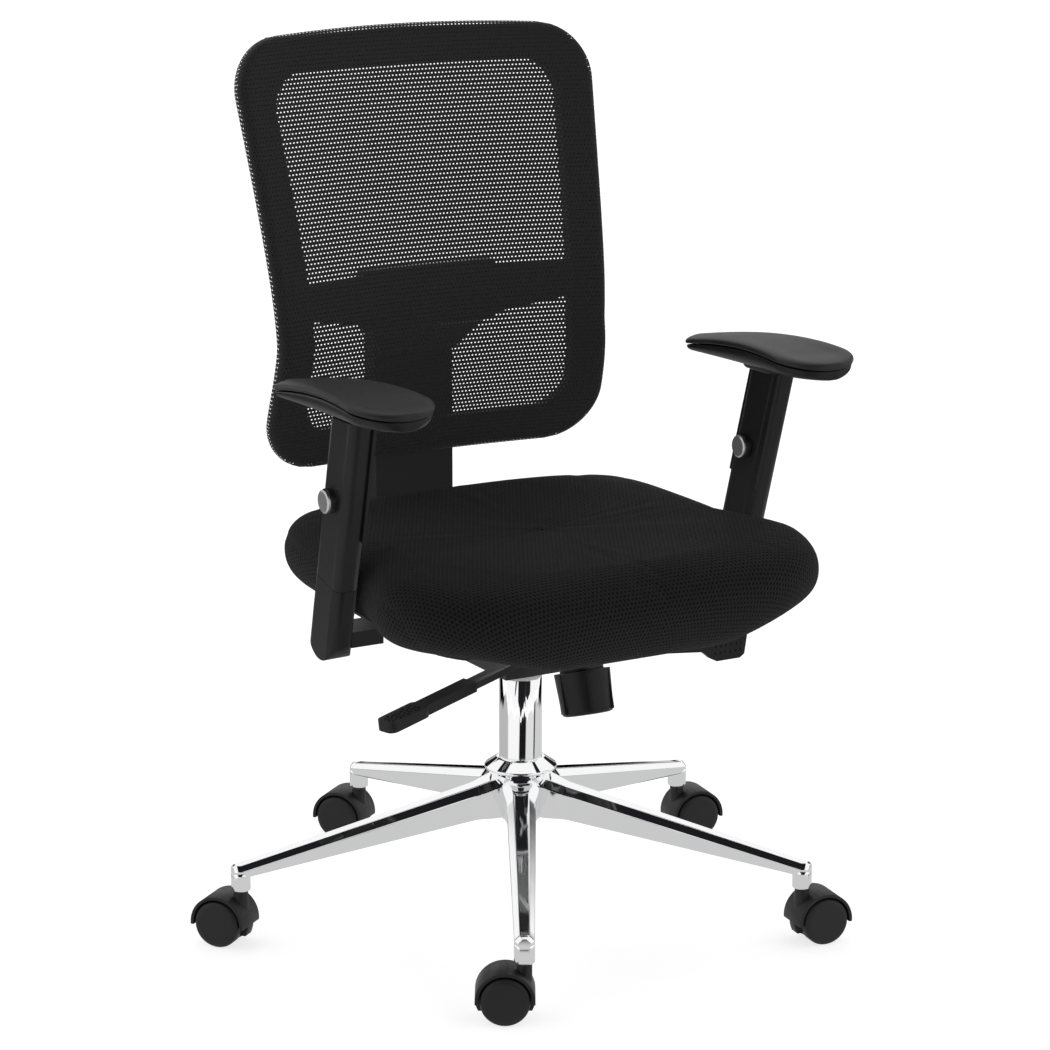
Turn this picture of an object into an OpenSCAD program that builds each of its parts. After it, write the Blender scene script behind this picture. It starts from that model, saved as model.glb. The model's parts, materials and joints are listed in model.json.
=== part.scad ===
// Swivel office chair: five-arm base on twin-wheel casters, gas-lift column, tilt mechanism,
// cushioned seat, height-adjustable arms and a mesh back on a curved frame.
// Millimetres. Z is up, the front of the chair faces -Y, and the origin is on the floor
// under the column.

/* [Base] */
// Distance from the column to each caster stem
stem_circle_r = 339; // [300:1:380]
// Direction of the first arm, turned from straight ahead
base_turn = -29.3; // [-36:0.1:36]
// Height of the caster socket mouths above the floor
socket_mouth_z = 66; // [65:0.5:72]
// Outer diameter of a caster socket, which is also the width of the arm's tip
socket_d = 23; // [20:0.5:28]
// Height of the arm's underside above the socket mouth, at the tip
tip_rise = 16; // [12:1:22]
// Height of the arm at its tip
tip_h = 15; // [12:1:20]
// Width of the arm where it meets the hub
root_w = 36; // [28:1:40]
// Height of the arm where it meets the hub
root_h = 42; // [34:1:50]
// Height of the hub's underside above the floor
hub_z = 128; // [124:1:134]
// Outer diameter of the hub's barrel
hub_d = 69; // [64:1:80]
// Outer diameter of the hub's collar
collar_d = 85; // [82:1:95]
// Height of the hub, barrel and collar together
hub_h = 65; // [60:1:72]

/* [Casters] */
// Diameter of a caster wheel
wheel_d = 55; // [48:1:56]
// Width over both wheels of one caster
caster_w = 48; // [44:1:56]
// Distance from the stem to the wheel axle, seen from above
caster_trail = 21; // [18:0.5:23]
// Thickness of the hood's middle web
web_t = 14; // [13:0.5:16]
// Thickness of the hood's shell
hood_t = 3.5; // [2.5:0.1:4]
// Diameter of the caster stem
stem_d = 11; // [10:0.5:12]
// Length of stem held in the socket
stem_grip = 23; // [20:0.5:24]
// Wall of the steel sleeve in each socket
sleeve_t = 1.5; // [1:0.1:2]
// Diameter of the wheel axle
axle_d = 6; // [5:0.5:8]

/* [Column] */
// Outer diameter of the column tube
column_d = 50; // [46:1:54]
// Height of the column tube's upper end
column_top_z = 290; // [280:1:294]
// Wall of the column tube
column_t = 2; // [1.5:0.1:3]
// Outer diameter of the gas cylinder
cylinder_d = 28; // [26:0.5:32]
// Diameter of the piston rod
rod_d = 10; // [8:0.5:12]
// Diameter of the gas cylinder's release pin
release_pin_d = 5; // [4:0.5:7]
// Length of the guide bush inside the tube
bush_len = 54; // [40:1:60]

/* [Mechanism] */
// Width over the tilt housing
housing_w = 96; // [90:1:98]
// Thickness of the housing's pressed steel
housing_t = 3; // [2:0.5:4]
// Height of the housing's underside round the column
housing_z = 303; // [300:1:306]
// Distance of the back's pivot behind the column
back_pivot_y = 35; // [32:1:40]
// Height of the back's pivot
back_pivot_z = 338; // [334:1:340]
// Distance of the seat's pivot in front of the column
seat_pivot_y = 88; // [84:1:92]
// Height of the seat's pivot
seat_pivot_z = 358; // [356:1:360]
// Diameter of the back's pivot pin
back_pin_d = 10; // [8:0.5:12]
// Diameter of the seat's pivot pin
seat_pin_d = 8; // [6:0.5:10]
// Largest diameter of the tension knob
knob_d = 64; // [58:1:70]
// Height of the tension knob
knob_h = 49; // [40:1:54]
// Forward lean of the knob's axis
knob_lean = 17; // [10:1:20]
// Outer diameter of the spring cup above the knob
cup_d = 50; // [44:1:54]
// Wire diameter of the tilt spring
spring_wire = 5; // [4:0.5:6]

/* [Levers] */
// Distance of the height lever's tip to the side of the column
height_lever_reach = 252; // [230:1:260]
// Distance of the height lever's tip in front of the column
height_lever_front = 134; // [120:1:150]
// Width of the height lever's bar
lever_bar_w = 17; // [14:1:20]
// Width of the height lever's paddle
paddle_w = 27; // [22:1:32]
// Length of the height lever's paddle
paddle_len = 62; // [50:1:80]
// Distance of the lock lever's tip to the side of the column
lock_lever_reach = 250; // [230:1:260]
// Height of the lock lever's paddle
lock_paddle_h = 42; // [36:1:46]
// Length of the lock lever's paddle
lock_paddle_len = 56; // [46:1:70]

/* [Seat] */
// Width of the cushion at its widest, near the front
seat_w = 524; // [500:1:530]
// Depth of the cushion from front to rear
seat_d = 505; // [480:1:520]
// Distance of the cushion's rear edge behind the column
seat_rear_y = 212; // [205:1:216]
// Height of the cushion's rim
seat_top_z = 484; // [474:1:488]
// Height of the seat board's upper face
board_top_z = 400; // [398:1:404]
// Thickness of the seat board
board_t = 12; // [10:1:14]
// How far the cushion's front hangs below the board's upper face
front_drop = 20; // [12:1:24]
// Thickness of the steel seat plate
plate_t = 4; // [3:0.5:5]

/* [Arms] */
// Distance from the middle of the chair to each arm post, at its foot
arm_x = 264; // [262:1:270]
// Distance of the post's foot in front of the column
arm_foot_y = 32; // [20:1:40]
// Height of the post's foot
arm_foot_z = 360; // [356:1:364]
// Forward lean of the post
arm_lean = 15.5; // [10:0.5:18]
// Outward lean of the post
arm_splay = 1.5; // [0:0.5:2]
// Depth of the post, front to rear
post_d = 56; // [50:1:60]
// Width of the post
post_w = 30; // [28:1:34]
// Length of the fixed lower boot
boot_len = 96; // [90:1:100]
// Height of the upper sleeve's top end
sleeve_top_z = 644; // [636:1:650]
// Depth of the inner tongue that guides the sleeve
tongue_d = 44; // [40:1:46]
// Width of the inner tongue
tongue_w = 20; // [18:0.5:21]
// Diameter of the height button
button_d = 26; // [22:1:28]
// Distance of the height button up the post from its foot
button_up = 196; // [180:1:210]
// Length of the arm pad
pad_len = 280; // [250:1:300]
// Width of the arm pad at its front
pad_front_w = 100; // [90:1:104]
// Width of the arm pad at its rear
pad_rear_w = 68; // [60:1:76]
// How much the underside of the hard shell rises from its rear end to its front
pad_base_t = 11; // [9:1:13]
// Height of the pad's edge at its rear end
pad_edge_t = 7; // [6:0.5:10]
// Height of the pad's rear end
pad_rear_z = 658; // [656:1:664]
// How far the seam under the pad climbs from the rear end to the crest
pad_climb = 21; // [12:1:24]

/* [Back] */
// Width of the back near its top
back_top_w = 480; // [440:1:500]
// Width of the back near its bottom
back_low_w = 448; // [420:1:470]
// Width of the back at its waist
waist_w = 434; // [410:1:450]
// Height of the back's lower edge
back_low_z = 512; // [506:1:516]
// Height of the back's upper edge
back_top_z = 1020; // [980:1:1040]
// Height of the lumbar bulge
lumbar_z = 665; // [650:1:680]
// Distance of the lumbar bulge behind the column, at the sides
lumbar_y = 160; // [156:1:166]
// How far the middle of the back lies behind its sides
back_dish = 20; // [10:1:24]
// Thickness of the back's frame
frame_t = 20; // [16:1:24]
// Thickness of the stretched mesh
mesh_t = 3.5; // [2:0.5:4]
// Width of the back bar
bar_w = 105; // [100:1:108]
// Thickness of the back bar
bar_t = 28; // [24:1:30]
// Distance of the back bar's front face behind the column
bar_y = 256; // [254:1:262]

/* [Hidden] */
SIDES = ["left", "right"];
CASTERS = [1, 2, 3, 4, 5];

// clearances
run_gap = 0.05;      // round parts that turn or slide in each other, on the radius
seat_gap = 0.03;     // round parts held fast in each other, on the radius
pin_gap = 0.08;      // pivot pins in the ears that swing on them, on the radius
face_gap = 0.3;      // flat faces of parts that move past each other
soft_gap = 0.3;      // foam and mesh from the hard parts under them
eps = 1;             // overrun of a cut past the face that it opens

// base
arm_step = 360 / len(CASTERS);
tip_z = socket_mouth_z + tip_rise;
sleeve_d = stem_d + 2 * run_gap + 2 * sleeve_t;
root_y = hub_d / 2 - 6;
root_edge_r = 12;
tip_edge_r = 7;
foot_edge_r = 2;

// column
taper_top_z = hub_z + hub_h;
column_foot_z = hub_z - 10;
foot_plate_t = 4;
taper_d = column_d - 3;
bearing_h = 5;
bearing_z = column_foot_z + foot_plate_t;
shoulder_z = bearing_z + bearing_h + run_gap;
column_bore_r = column_d / 2 - column_t;
bush_flange_h = 6;
cylinder_foot_z = 150;
cylinder_top_z = 345;
cylinder_end_t = 8;
cylinder_wall = 2;
piston_top_z = 304;
piston_h = 12;
pin_top_z = 351;
pin_head_gap = 0.5;

// casters: the direction each one trails, turned from straight ahead
caster_turns = [-120, 82, 82, -142, -142];
wheel_gap = 0.8;
hood_gap = 2;
hood_r = wheel_d / 2 + hood_gap + hood_t;
hood_skirt_z = wheel_d / 2 - 3;
hood_side_gap = 2;
boss_d = 17;
boss_top_z = 63.6;
axle_len = 40;
stem_foot_z = 38;

// mechanism
floor_front_z = 345;
housing_rear_y = 62;
housing_step_y = -50;
housing_front_y = -164;
housing_front_top_z = 372;
housing_rear_top_z = 356;
boss_r = cylinder_d / 2 + 6;
ear_t = 3.6;
ear_in = housing_w / 2 + face_gap;
pin_half = ear_in + ear_t + 3;
knob_top = [0, -138, 330];
cup_len = 42;
cup_end_t = 8;
cup_dip = 9;
cup_t = 3;
screw_d = 10;
plate_h = 4;
spring_turns = 4;

// levers
height_pivot = [-28, -66, 333];
lock_pivot = [housing_w / 2 + 6, -96, 332];
lever_pin_d = 5;
lever_tip_z = 297;

// seat and arms
board_z = board_top_z - board_t;
plate_z = board_z - plate_t;
arm_bar_t = 6;
arm_bar_w = 44;
arm_bar_in = 112;
arm_bar_y = -38;
leg_w = 32;
leg_foot = 24;
leg_top = 236;
tongue_top = 248;
post_edge_r = 11;
tongue_edge_r = 5;

// back
bar_bend_in = 12;
bar_under_z = 312;
bar_top_z = 728;
window_edge = 45;

// ---------------------------------------------------------------- helpers

// a rectangle with true round corners, so that what is extruded from it stays exact
module round_bar(w, d, r, h) {
    linear_extrude(height = h) {
        square([w - 2 * r, d], center = true);
        square([w, d - 2 * r], center = true);
        for (x = [-1, 1]) for (y = [-1, 1])
            translate([x * (w / 2 - r), y * (d / 2 - r)]) circle(r = r, $fn = 48);
    }
}

module ring(r_in, r_out, h) {
    difference() {
        cylinder(r = r_out, h = h, $fn = 96);
        translate([0, 0, -eps]) cylinder(r = r_in, h = h + 2 * eps, $fn = 96);
    }
}

// a cylinder lying along X, centred on the origin
module bar_x(r, len) {
    rotate([0, 90, 0]) cylinder(r = r, h = len, center = true, $fn = 64);
}

// a cylinder lying along Y, centred on the origin
module bar_y_axis(r, len) {
    rotate([90, 0, 0]) cylinder(r = r, h = len, center = true, $fn = 64);
}

// ---------------------------------------------------------------- base
module arm_end(w, z, h, edge_r, y) {
    for (s = [-1, 1]) {
        translate([s * (w / 2 - edge_r), y, z + h - edge_r]) bar_y_short(edge_r);
        translate([s * (w / 2 - foot_edge_r), y, z + foot_edge_r]) bar_y_short(foot_edge_r);
    }
}

module bar_y_short(r) {
    rotate([90, 0, 0]) cylinder(r = r, h = 1, center = true, $fn = 32);
}

module column_taper(gap) {
    translate([0, 0, column_foot_z])
        cylinder(r1 = taper_d / 2 + gap, r2 = column_d / 2 + gap,
                 h = taper_top_z - column_foot_z, $fn = 96);
}

module star_base() {
    color("gainsboro") difference() {
        union() {
            rotate_extrude($fn = 96) polygon([
                [0, hub_z], [hub_d / 2 - 2, hub_z], [hub_d / 2, hub_z + 2],
                [hub_d / 2, hub_z + hub_h - 21], [collar_d / 2, hub_z + hub_h - 14],
                [collar_d / 2, hub_z + hub_h - 11], [column_d / 2 + 2, hub_z + hub_h],
                [0, hub_z + hub_h]]);
            for (k = CASTERS) rotate([0, 0, base_turn + arm_step * (k - 1)]) {
                hull() {
                    arm_end(root_w, hub_z, root_h, root_edge_r, -root_y);
                    arm_end(socket_d, tip_z, tip_h, tip_edge_r, -stem_circle_r);
                    translate([0, -stem_circle_r, tip_z])
                        cylinder(r = socket_d / 2, h = tip_h - 3, $fn = 32);
                }
                translate([0, -stem_circle_r, socket_mouth_z])
                    cylinder(r = socket_d / 2, h = tip_rise + 4, $fn = 64);
            }
        }
        column_taper(seat_gap);
        translate([0, 0, hub_z - eps]) cylinder(r = taper_d / 2, h = hub_h + 2 * eps, $fn = 96);
        for (k = CASTERS) rotate([0, 0, base_turn + arm_step * (k - 1)])
            translate([0, -stem_circle_r, socket_mouth_z - eps])
                cylinder(r = sleeve_d / 2 + seat_gap, h = stem_grip + 2 + eps, $fn = 64);
    }
}

module caster_sockets() {
    color("silver") for (k = CASTERS) rotate([0, 0, base_turn + arm_step * (k - 1)])
        translate([0, -stem_circle_r, socket_mouth_z])
            ring(stem_d / 2 + run_gap, sleeve_d / 2, stem_grip + 1);
}

// ---------------------------------------------------------------- casters
module at_caster(k) {
    rotate([0, 0, base_turn + arm_step * (k - 1)]) translate([0, -stem_circle_r, 0])
        rotate([0, 0, caster_turns[k - 1] - base_turn - arm_step * (k - 1)]) children();
}

module at_axle() {
    translate([0, -caster_trail, wheel_d / 2]) children();
}

module caster_hood(k) {
    color("#1c1c1e") at_caster(k) difference() {
        union() {
            at_axle() bar_x(hood_r, caster_w - 2 * hood_side_gap);
            translate([0, 0, stem_foot_z]) cylinder(r = boss_d / 2, h = boss_top_z - stem_foot_z,
                                                    $fn = 64);
        }
        for (s = [-1, 1]) at_axle() translate([s * (web_t / 2 + caster_w / 2), 0, 0])
            bar_x(wheel_d / 2 + hood_gap, caster_w);
        translate([-caster_w, -caster_trail - 2 * hood_r, -hood_r])
            cube([2 * caster_w, 4 * hood_r, hood_r + hood_skirt_z - 12]);
        for (s = [-1, 1]) translate([s * (web_t / 2 + caster_w / 2) - caster_w / 2,
                                     -caster_trail - 2 * hood_r, -hood_r])
            cube([caster_w, 4 * hood_r, hood_r + hood_skirt_z]);
        at_axle() bar_x(axle_d / 2 + seat_gap, caster_w);
        translate([0, 0, stem_foot_z]) cylinder(r = stem_d / 2 + seat_gap, h = hood_r, $fn = 64);
    }
}

module caster_pins(k) {
    color("silver") at_caster(k) {
        translate([0, 0, stem_foot_z])
            cylinder(r = stem_d / 2, h = socket_mouth_z + stem_grip - stem_foot_z, $fn = 64);
        at_axle() bar_x(axle_d / 2, axle_len);
    }
}

// one wheel, its axis along Z, inner face at 0 and outer face at the wheel's width
module wheel_solid(w) {
    r = wheel_d / 2;
    rim_t = 6;
    hub_r = 8;
    rotate_extrude($fn = 96) polygon([
        [axle_d / 2 + run_gap, 0], [hub_r, 0], [hub_r, w - 5], [r - rim_t, w - 5],
        [r - rim_t, 1], [r - rim_t + 1, 0], [r - 1.5, 0], [r, 1.5], [r, w - 4],
        [r - 1.2, w - 1.6], [r - 4, w - 0.4], [r - 6, w], [0, w],
        [0, w - 3], [axle_d / 2 + run_gap, w - 3]]);
}

module caster_wheel(k, s) {
    color("#161618") at_caster(k) at_axle() rotate([0, 90 * s, 0])
        translate([0, 0, web_t / 2 + wheel_gap])
            wheel_solid(caster_w / 2 - web_t / 2 - wheel_gap);
}

// ---------------------------------------------------------------- column
module column_tube() {
    color("gainsboro") difference() {
        union() {
            column_taper(0);
            translate([0, 0, taper_top_z])
                cylinder(r = column_d / 2, h = column_top_z - taper_top_z, $fn = 96);
        }
        translate([0, 0, bearing_z])
            cylinder(r = taper_d / 2 - column_t, h = taper_top_z - bearing_z, $fn = 96);
        translate([0, 0, taper_top_z - eps])
            cylinder(r = column_bore_r, h = column_top_z - taper_top_z + 2 * eps, $fn = 96);
        translate([0, 0, column_foot_z - eps])
            cylinder(r = rod_d / 2 + 2 * run_gap, h = foot_plate_t + 2 * eps, $fn = 64);
    }
}

module column_bush() {
    color("#b9babb") difference() {
        union() {
            translate([0, 0, column_top_z - bush_len])
                cylinder(r = column_bore_r - seat_gap, h = bush_len, $fn = 96);
            translate([0, 0, column_top_z]) cylinder(r = column_d / 2, h = bush_flange_h - 1.5,
                                                     $fn = 96);
            translate([0, 0, column_top_z + bush_flange_h - 1.5])
                cylinder(r1 = column_d / 2, r2 = column_d / 2 - 1.5, h = 1.5, $fn = 96);
        }
        translate([0, 0, column_top_z - bush_len - eps])
            cylinder(r = cylinder_d / 2 + run_gap, h = bush_len + bush_flange_h + 2 * eps,
                     $fn = 96);
    }
}

module thrust_bearing() {
    washer_t = 1;
    cage_gap = 0.1;
    color("silver") {
        for (z = [0, bearing_h - washer_t]) translate([0, 0, bearing_z + z])
            ring(rod_d / 2 + 0.3, 13, washer_t);
        translate([0, 0, bearing_z + washer_t + cage_gap])
            ring(rod_d / 2 + 1.2, 12, bearing_h - 2 * washer_t - 2 * cage_gap);
    }
}

module piston_rod() {
    color("silver") {
        translate([0, 0, column_foot_z - 6])
            cylinder(r = rod_d / 2, h = piston_top_z - piston_h - column_foot_z + 6, $fn = 64);
        translate([0, 0, shoulder_z]) cylinder(r = rod_d / 2 + 3, h = 4, $fn = 64);
        translate([0, 0, piston_top_z - piston_h])
            cylinder(r = cylinder_d / 2 - cylinder_wall - run_gap, h = piston_h, $fn = 96);
    }
}

module rod_clip() {
    color("dimgray") translate([0, 0, column_foot_z - 3.5])
        ring(rod_d / 2 + seat_gap, rod_d / 2 + 3.5, 3.2);
}

module gas_cylinder() {
    color("#26262a") difference() {
        translate([0, 0, cylinder_foot_z])
            cylinder(r = cylinder_d / 2, h = cylinder_top_z - cylinder_foot_z, $fn = 96);
        translate([0, 0, cylinder_foot_z + cylinder_end_t])
            cylinder(r = cylinder_d / 2 - cylinder_wall,
                     h = piston_top_z + 16 - cylinder_foot_z - cylinder_end_t, $fn = 96);
        translate([0, 0, cylinder_foot_z - eps])
            cylinder(r = rod_d / 2 + run_gap, h = cylinder_end_t + 2 * eps, $fn = 64);
        translate([0, 0, piston_top_z])
            cylinder(r = release_pin_d / 2 + run_gap, h = cylinder_top_z, $fn = 64);
    }
}

module release_pin() {
    color("silver") {
        translate([0, 0, piston_top_z + 22])
            cylinder(r = release_pin_d / 2, h = pin_top_z - piston_top_z - 23, $fn = 64);
        translate([0, 0, pin_top_z - 1])
            cylinder(r1 = release_pin_d / 2, r2 = release_pin_d / 2 - 1, h = 1, $fn = 64);
    }
}

// ---------------------------------------------------------------- tilt mechanism
module at_knob() {
    translate(knob_top) rotate([-knob_lean, 0, 0]) children();
}

// side outline of the housing (Y across, Z up), shrunk by t and left open at the top
module housing_outline(t, up) {
    polygon([
        [housing_rear_y - t, housing_rear_top_z + up], [housing_rear_y - t, housing_z + 15 + t / 2],
        [housing_rear_y - 14 - t / 2, housing_z + t], [housing_step_y + t, housing_z + t],
        [housing_step_y + t, floor_front_z + t], [housing_front_y + t, floor_front_z + t],
        [housing_front_y + t, housing_front_top_z + up],
        [-seat_pivot_y + 26, housing_front_top_z + up]]);
}

module extrude_x(w) {
    rotate([90, 0, 90]) translate([0, 0, -w / 2]) linear_extrude(height = w) children();
}

module tilt_housing() {
    lug_w = 3;
    lug_y = height_pivot[1] - 16;
    color("#202022") difference() {
        union() {
            difference() {
                extrude_x(housing_w) housing_outline(0, 0);
                extrude_x(housing_w - 2 * housing_t) housing_outline(housing_t, 30);
                // way in for the height lever's finger, through the floor and the step
                translate([-26, height_pivot[1] - 10, 318]) cube([40, 34, 42]);
            }
            translate([0, 0, housing_z]) cylinder(r = boss_r, h = cylinder_top_z - housing_z,
                                                  $fn = 96);
            difference() {
                at_knob() translate([0, 0, -cup_dip]) cylinder(r = cup_d / 2, h = cup_len + cup_dip,
                                                               $fn = 96);
                translate([-cup_d, -300, housing_front_top_z - 2]) cube([2 * cup_d, 300, 60]);
            }
            // lugs that carry the height lever's pin
            for (y = [lug_y, housing_step_y])
                translate([height_pivot[0] - 7, y - lug_w, height_pivot[2] - 7])
                    cube([14, lug_w, floor_front_z - height_pivot[2] + 8]);
            // lugs that carry the lock lever's pin
            for (y = [-12, 9]) translate([housing_w / 2 - 1, lock_pivot[1] + y, lock_pivot[2] - 6])
                cube([13, lug_w, 19]);
        }
        translate([0, 0, housing_z - eps])
            cylinder(r = cylinder_d / 2 + seat_gap, h = cylinder_top_z, $fn = 96);
        at_knob() translate([0, 0, -cup_dip - eps])
            cylinder(r = cup_d / 2 - cup_t, h = cup_len - cup_end_t + cup_dip + eps, $fn = 96);
        translate([0, back_pivot_y, back_pivot_z]) bar_x(back_pin_d / 2 + seat_gap, 2 * housing_w);
        translate([0, -seat_pivot_y, seat_pivot_z]) bar_x(seat_pin_d / 2 + seat_gap,
                                                          2 * housing_w);
        translate(height_pivot) bar_y_axis(lever_pin_d / 2 + seat_gap, 60);
        translate(lock_pivot) bar_y_axis(lever_pin_d / 2 + seat_gap, 60);
    }
}

module pivot_pins() {
    color("silver") {
        translate([0, back_pivot_y, back_pivot_z]) bar_x(back_pin_d / 2, 2 * pin_half);
        translate([0, -seat_pivot_y, seat_pivot_z]) bar_x(seat_pin_d / 2, 2 * pin_half);
        translate(height_pivot) bar_y_axis(lever_pin_d / 2, 38);
        translate(lock_pivot) bar_y_axis(lever_pin_d / 2, 26);
    }
}

// points on a coil: ring i of the sweep, turned about the knob's axis
function coil_at(i, per, r, rise) =
    [r * cos(360 * i / per), r * sin(360 * i / per), rise * i / per];

module tilt_spring() {
    per = 14;
    sides = 8;
    rings = spring_turns * per;
    r = cup_d / 2 - cup_t - spring_wire / 2 - 1;
    rise = 5.6;
    pts = [for (i = [0:rings]) let (c = coil_at(i, per, r, rise), a = 360 * i / per)
        for (j = [0:sides - 1]) let (b = 360 * j / sides)
            c + spring_wire / 2 * [cos(b) * cos(a), cos(b) * sin(a), sin(b)]];
    quads = [for (i = [0:rings - 1]) for (j = [0:sides - 1])
        [i * sides + j, i * sides + (j + 1) % sides,
         (i + 1) * sides + (j + 1) % sides, (i + 1) * sides + j]];
    ends = [[for (j = [sides - 1:-1:0]) j], [for (j = [0:sides - 1]) rings * sides + j]];
    color("dimgray") at_knob() translate([0, 0, 8.6]) polyhedron(pts, concat(quads, ends));
}

module spring_plate() {
    color("silver") at_knob() translate([0, 0, 2])
        ring(screw_d / 2 + run_gap, cup_d / 2 - cup_t - run_gap, plate_h);
}

module tension_screw() {
    color("silver") at_knob() translate([0, 0, -knob_h + 6])
        cylinder(r = screw_d / 2, h = knob_h + 26, $fn = 64);
}

module tension_knob() {
    wall = 3;
    color("#1a1a1c") at_knob() translate([0, 0, -knob_h]) difference() {
        union() {
            rotate_extrude($fn = 96) polygon([
                [0, 0], [knob_d / 2 - 7, 0], [knob_d / 2 - 4, 1.2], [knob_d / 2 - 2.4, 4],
                [knob_d / 2, knob_h], [0, knob_h]]);
            // low ribs that give the fingers a hold
            for (a = [0:60:300]) rotate([0, 0, a + 8]) translate([knob_d / 2 - 2.6, -0.6, 3])
                cube([3, 1.2, knob_h - 4]);
        }
        translate([0, 0, knob_h - 12]) cylinder(r = cup_d / 2 + 1, h = 14, $fn = 96);
        translate([0, 0, 6]) cylinder(r = screw_d / 2 + seat_gap, h = knob_h, $fn = 64);
    }
}

// ---------------------------------------------------------------- levers
// the height lever lies along a line from its pivot out to its tip, dropping a little
lever_run = [-height_lever_reach - height_pivot[0], -height_lever_front - height_pivot[1]];
lever_len = norm(lever_run);
lever_turn = atan2(lever_run[1], lever_run[0]);
lever_drop = atan((height_pivot[2] - 4 - lever_tip_z) / lever_len);

module along_height_lever() {
    translate(height_pivot) rotate([0, 0, lever_turn]) rotate([0, lever_drop, 0]) children();
}

module height_lever_bar() {
    bar_h = 8;
    finger_h = 5;
    finger_z = pin_top_z + pin_head_gap;
    color("#2a2a2c") difference() {
        union() {
            translate([height_pivot[0], height_pivot[1] - 1, height_pivot[2]])
                bar_y_axis(7, 20);
            along_height_lever() translate([0, -lever_bar_w / 2, -bar_h / 2])
                cube([lever_len - paddle_len, lever_bar_w, bar_h]);
            translate([-20, -70, height_pivot[2] - 5]) cube([12, 14, finger_z - height_pivot[2] + 5]);
            translate([-20, -70, finger_z]) cube([12, 72, finger_h]);
            translate([-20, -5, finger_z]) cube([26, 10, finger_h]);
            translate([-30, -70, height_pivot[2] - 5]) cube([16, 14, 10]);
        }
        translate(height_pivot) bar_y_axis(lever_pin_d / 2 + pin_gap, 60);
    }
}

module height_lever_paddle() {
    t = 12;
    lap = 70;
    cell = 6;
    dot_r = 1.4;
    color("#19191b") along_height_lever() difference() {
        union() {
            translate([lever_len - paddle_len / 2, 0, -t / 2])
                round_bar(paddle_len, paddle_w, 9, t);
            translate([(lever_len - lap) / 2 + 14, -lever_bar_w / 2 - 1.5, -t / 2])
                cube([(lever_len - lap) / 2, lever_bar_w + 3, t]);
            for (i = [0:7]) for (j = [-1:1])
                translate([lever_len - paddle_len + 12 + i * cell, j * cell + (i % 2) * 2 - 1, t / 2 - 1])
                    cylinder(r = dot_r, h = 2, $fn = 6);
        }
        translate([-eps, -lever_bar_w / 2 - seat_gap, -4 - seat_gap])
            cube([lever_len - paddle_len + eps + seat_gap, lever_bar_w + 2 * seat_gap,
                  8 + 2 * seat_gap]);
    }
}

module lock_lever_bar() {
    len = lock_lever_reach - lock_paddle_len - lock_pivot[0];
    color("#2a2a2c") difference() {
        union() {
            translate(lock_pivot) bar_y_axis(7, 17);
            translate([lock_pivot[0], lock_pivot[1] - 4, lock_pivot[2] - 6]) cube([len, 5, 12]);
        }
        translate(lock_pivot) bar_y_axis(lever_pin_d / 2 + pin_gap, 60);
    }
}

module lock_lever_paddle() {
    t = 9;
    x0 = lock_lever_reach - lock_paddle_len;
    neck = 82;
    low_z = lock_pivot[2] - 30;
    color("#333335") difference() {
        translate([0, lock_pivot[1] + 3.5, 0]) rotate([90, 0, 0]) linear_extrude(height = t)
            polygon([
                [x0 - neck, lock_pivot[2] - 8], [x0 - 8, lock_pivot[2] - 16], [x0 + 4, low_z + 4],
                [x0 + 12, low_z], [lock_lever_reach - 12, low_z], [lock_lever_reach - 6, low_z + 4],
                [lock_lever_reach, low_z + lock_paddle_h],
                [x0 + 6, low_z + lock_paddle_h], [x0 - 14, lock_pivot[2] + 8],
                [x0 - neck, lock_pivot[2] + 8]]);
        translate([lock_pivot[0] - eps, lock_pivot[1] - 4 - seat_gap, lock_pivot[2] - 6 - seat_gap])
            cube([x0 - lock_pivot[0] + eps + seat_gap, 5 + 2 * seat_gap, 12 + 2 * seat_gap]);
        for (i = [0:5]) for (j = [0:3])
            translate([x0 + 8 + i * 7 + j, lock_pivot[1] - 6.5, low_z + 8 + j * 8])
                cube([1.8, 2, 4]);
    }
}

// ---------------------------------------------------------------- seat
// half-width of the seat at distance y behind the column: widest near the front
function seat_half_w(y, inset) =
    let (t = (y - (seat_rear_y - seat_d)) / seat_d)
    (seat_w / 2 - inset) * (1 - 0.11 * pow(t, 1.6));

// outline of the seat: a rounded rectangle whose sides draw in towards the rear
function seat_outline(inset) =
    let (mid = seat_rear_y - seat_d / 2, half = seat_d / 2 - inset, n = 4.4)
    [for (a = [0:6:354]) let (
        cx = pow(abs(cos(a)), 2 / n) * sign(cos(a)),
        cy = pow(abs(sin(a)), 2 / n) * sign(sin(a)),
        y = mid + half * cy) [seat_half_w(y, inset) * cx, y]];

module seat_slice(inset, z) {
    translate([0, 0, z]) linear_extrude(height = 0.5) polygon(seat_outline(inset));
}

module seat_cushion() {
    low_z = board_top_z + soft_gap;
    lip_in = 84;
    color("#141416") union() {
        difference() {
            hull() {
                seat_slice(20, low_z);
                seat_slice(4, low_z + 22);
                seat_slice(0, low_z + 42);
                seat_slice(6, low_z + 64);
                seat_slice(24, seat_top_z - 0.5);
            }
            // shallow hollows where the foam is pressed in by the arm posts
            for (s = [-1, 1]) at_post(s)
                round_bar(post_w + 4 * soft_gap, post_d + 4 * soft_gap, post_edge_r, 200);
        }
        // waterfall lip that wraps down over the board's front edge
        hull() for (p = [[30, 10], [56, 18]])
            translate([0, seat_rear_y - seat_d + p[0], low_z - front_drop + p[1]]) rotate([0, 90, 0])
                cylinder(r = p[1], h = seat_w - 2 * lip_in, center = true, $fn = 32);
    }
}

module seat_board() {
    color("#2b2521") translate([0, 0, board_z]) linear_extrude(height = board_t)
        difference() {
            polygon(seat_outline(44));
            translate([-seat_w, seat_rear_y - seat_d - 1]) square([2 * seat_w, 82]);
        }
}

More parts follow.
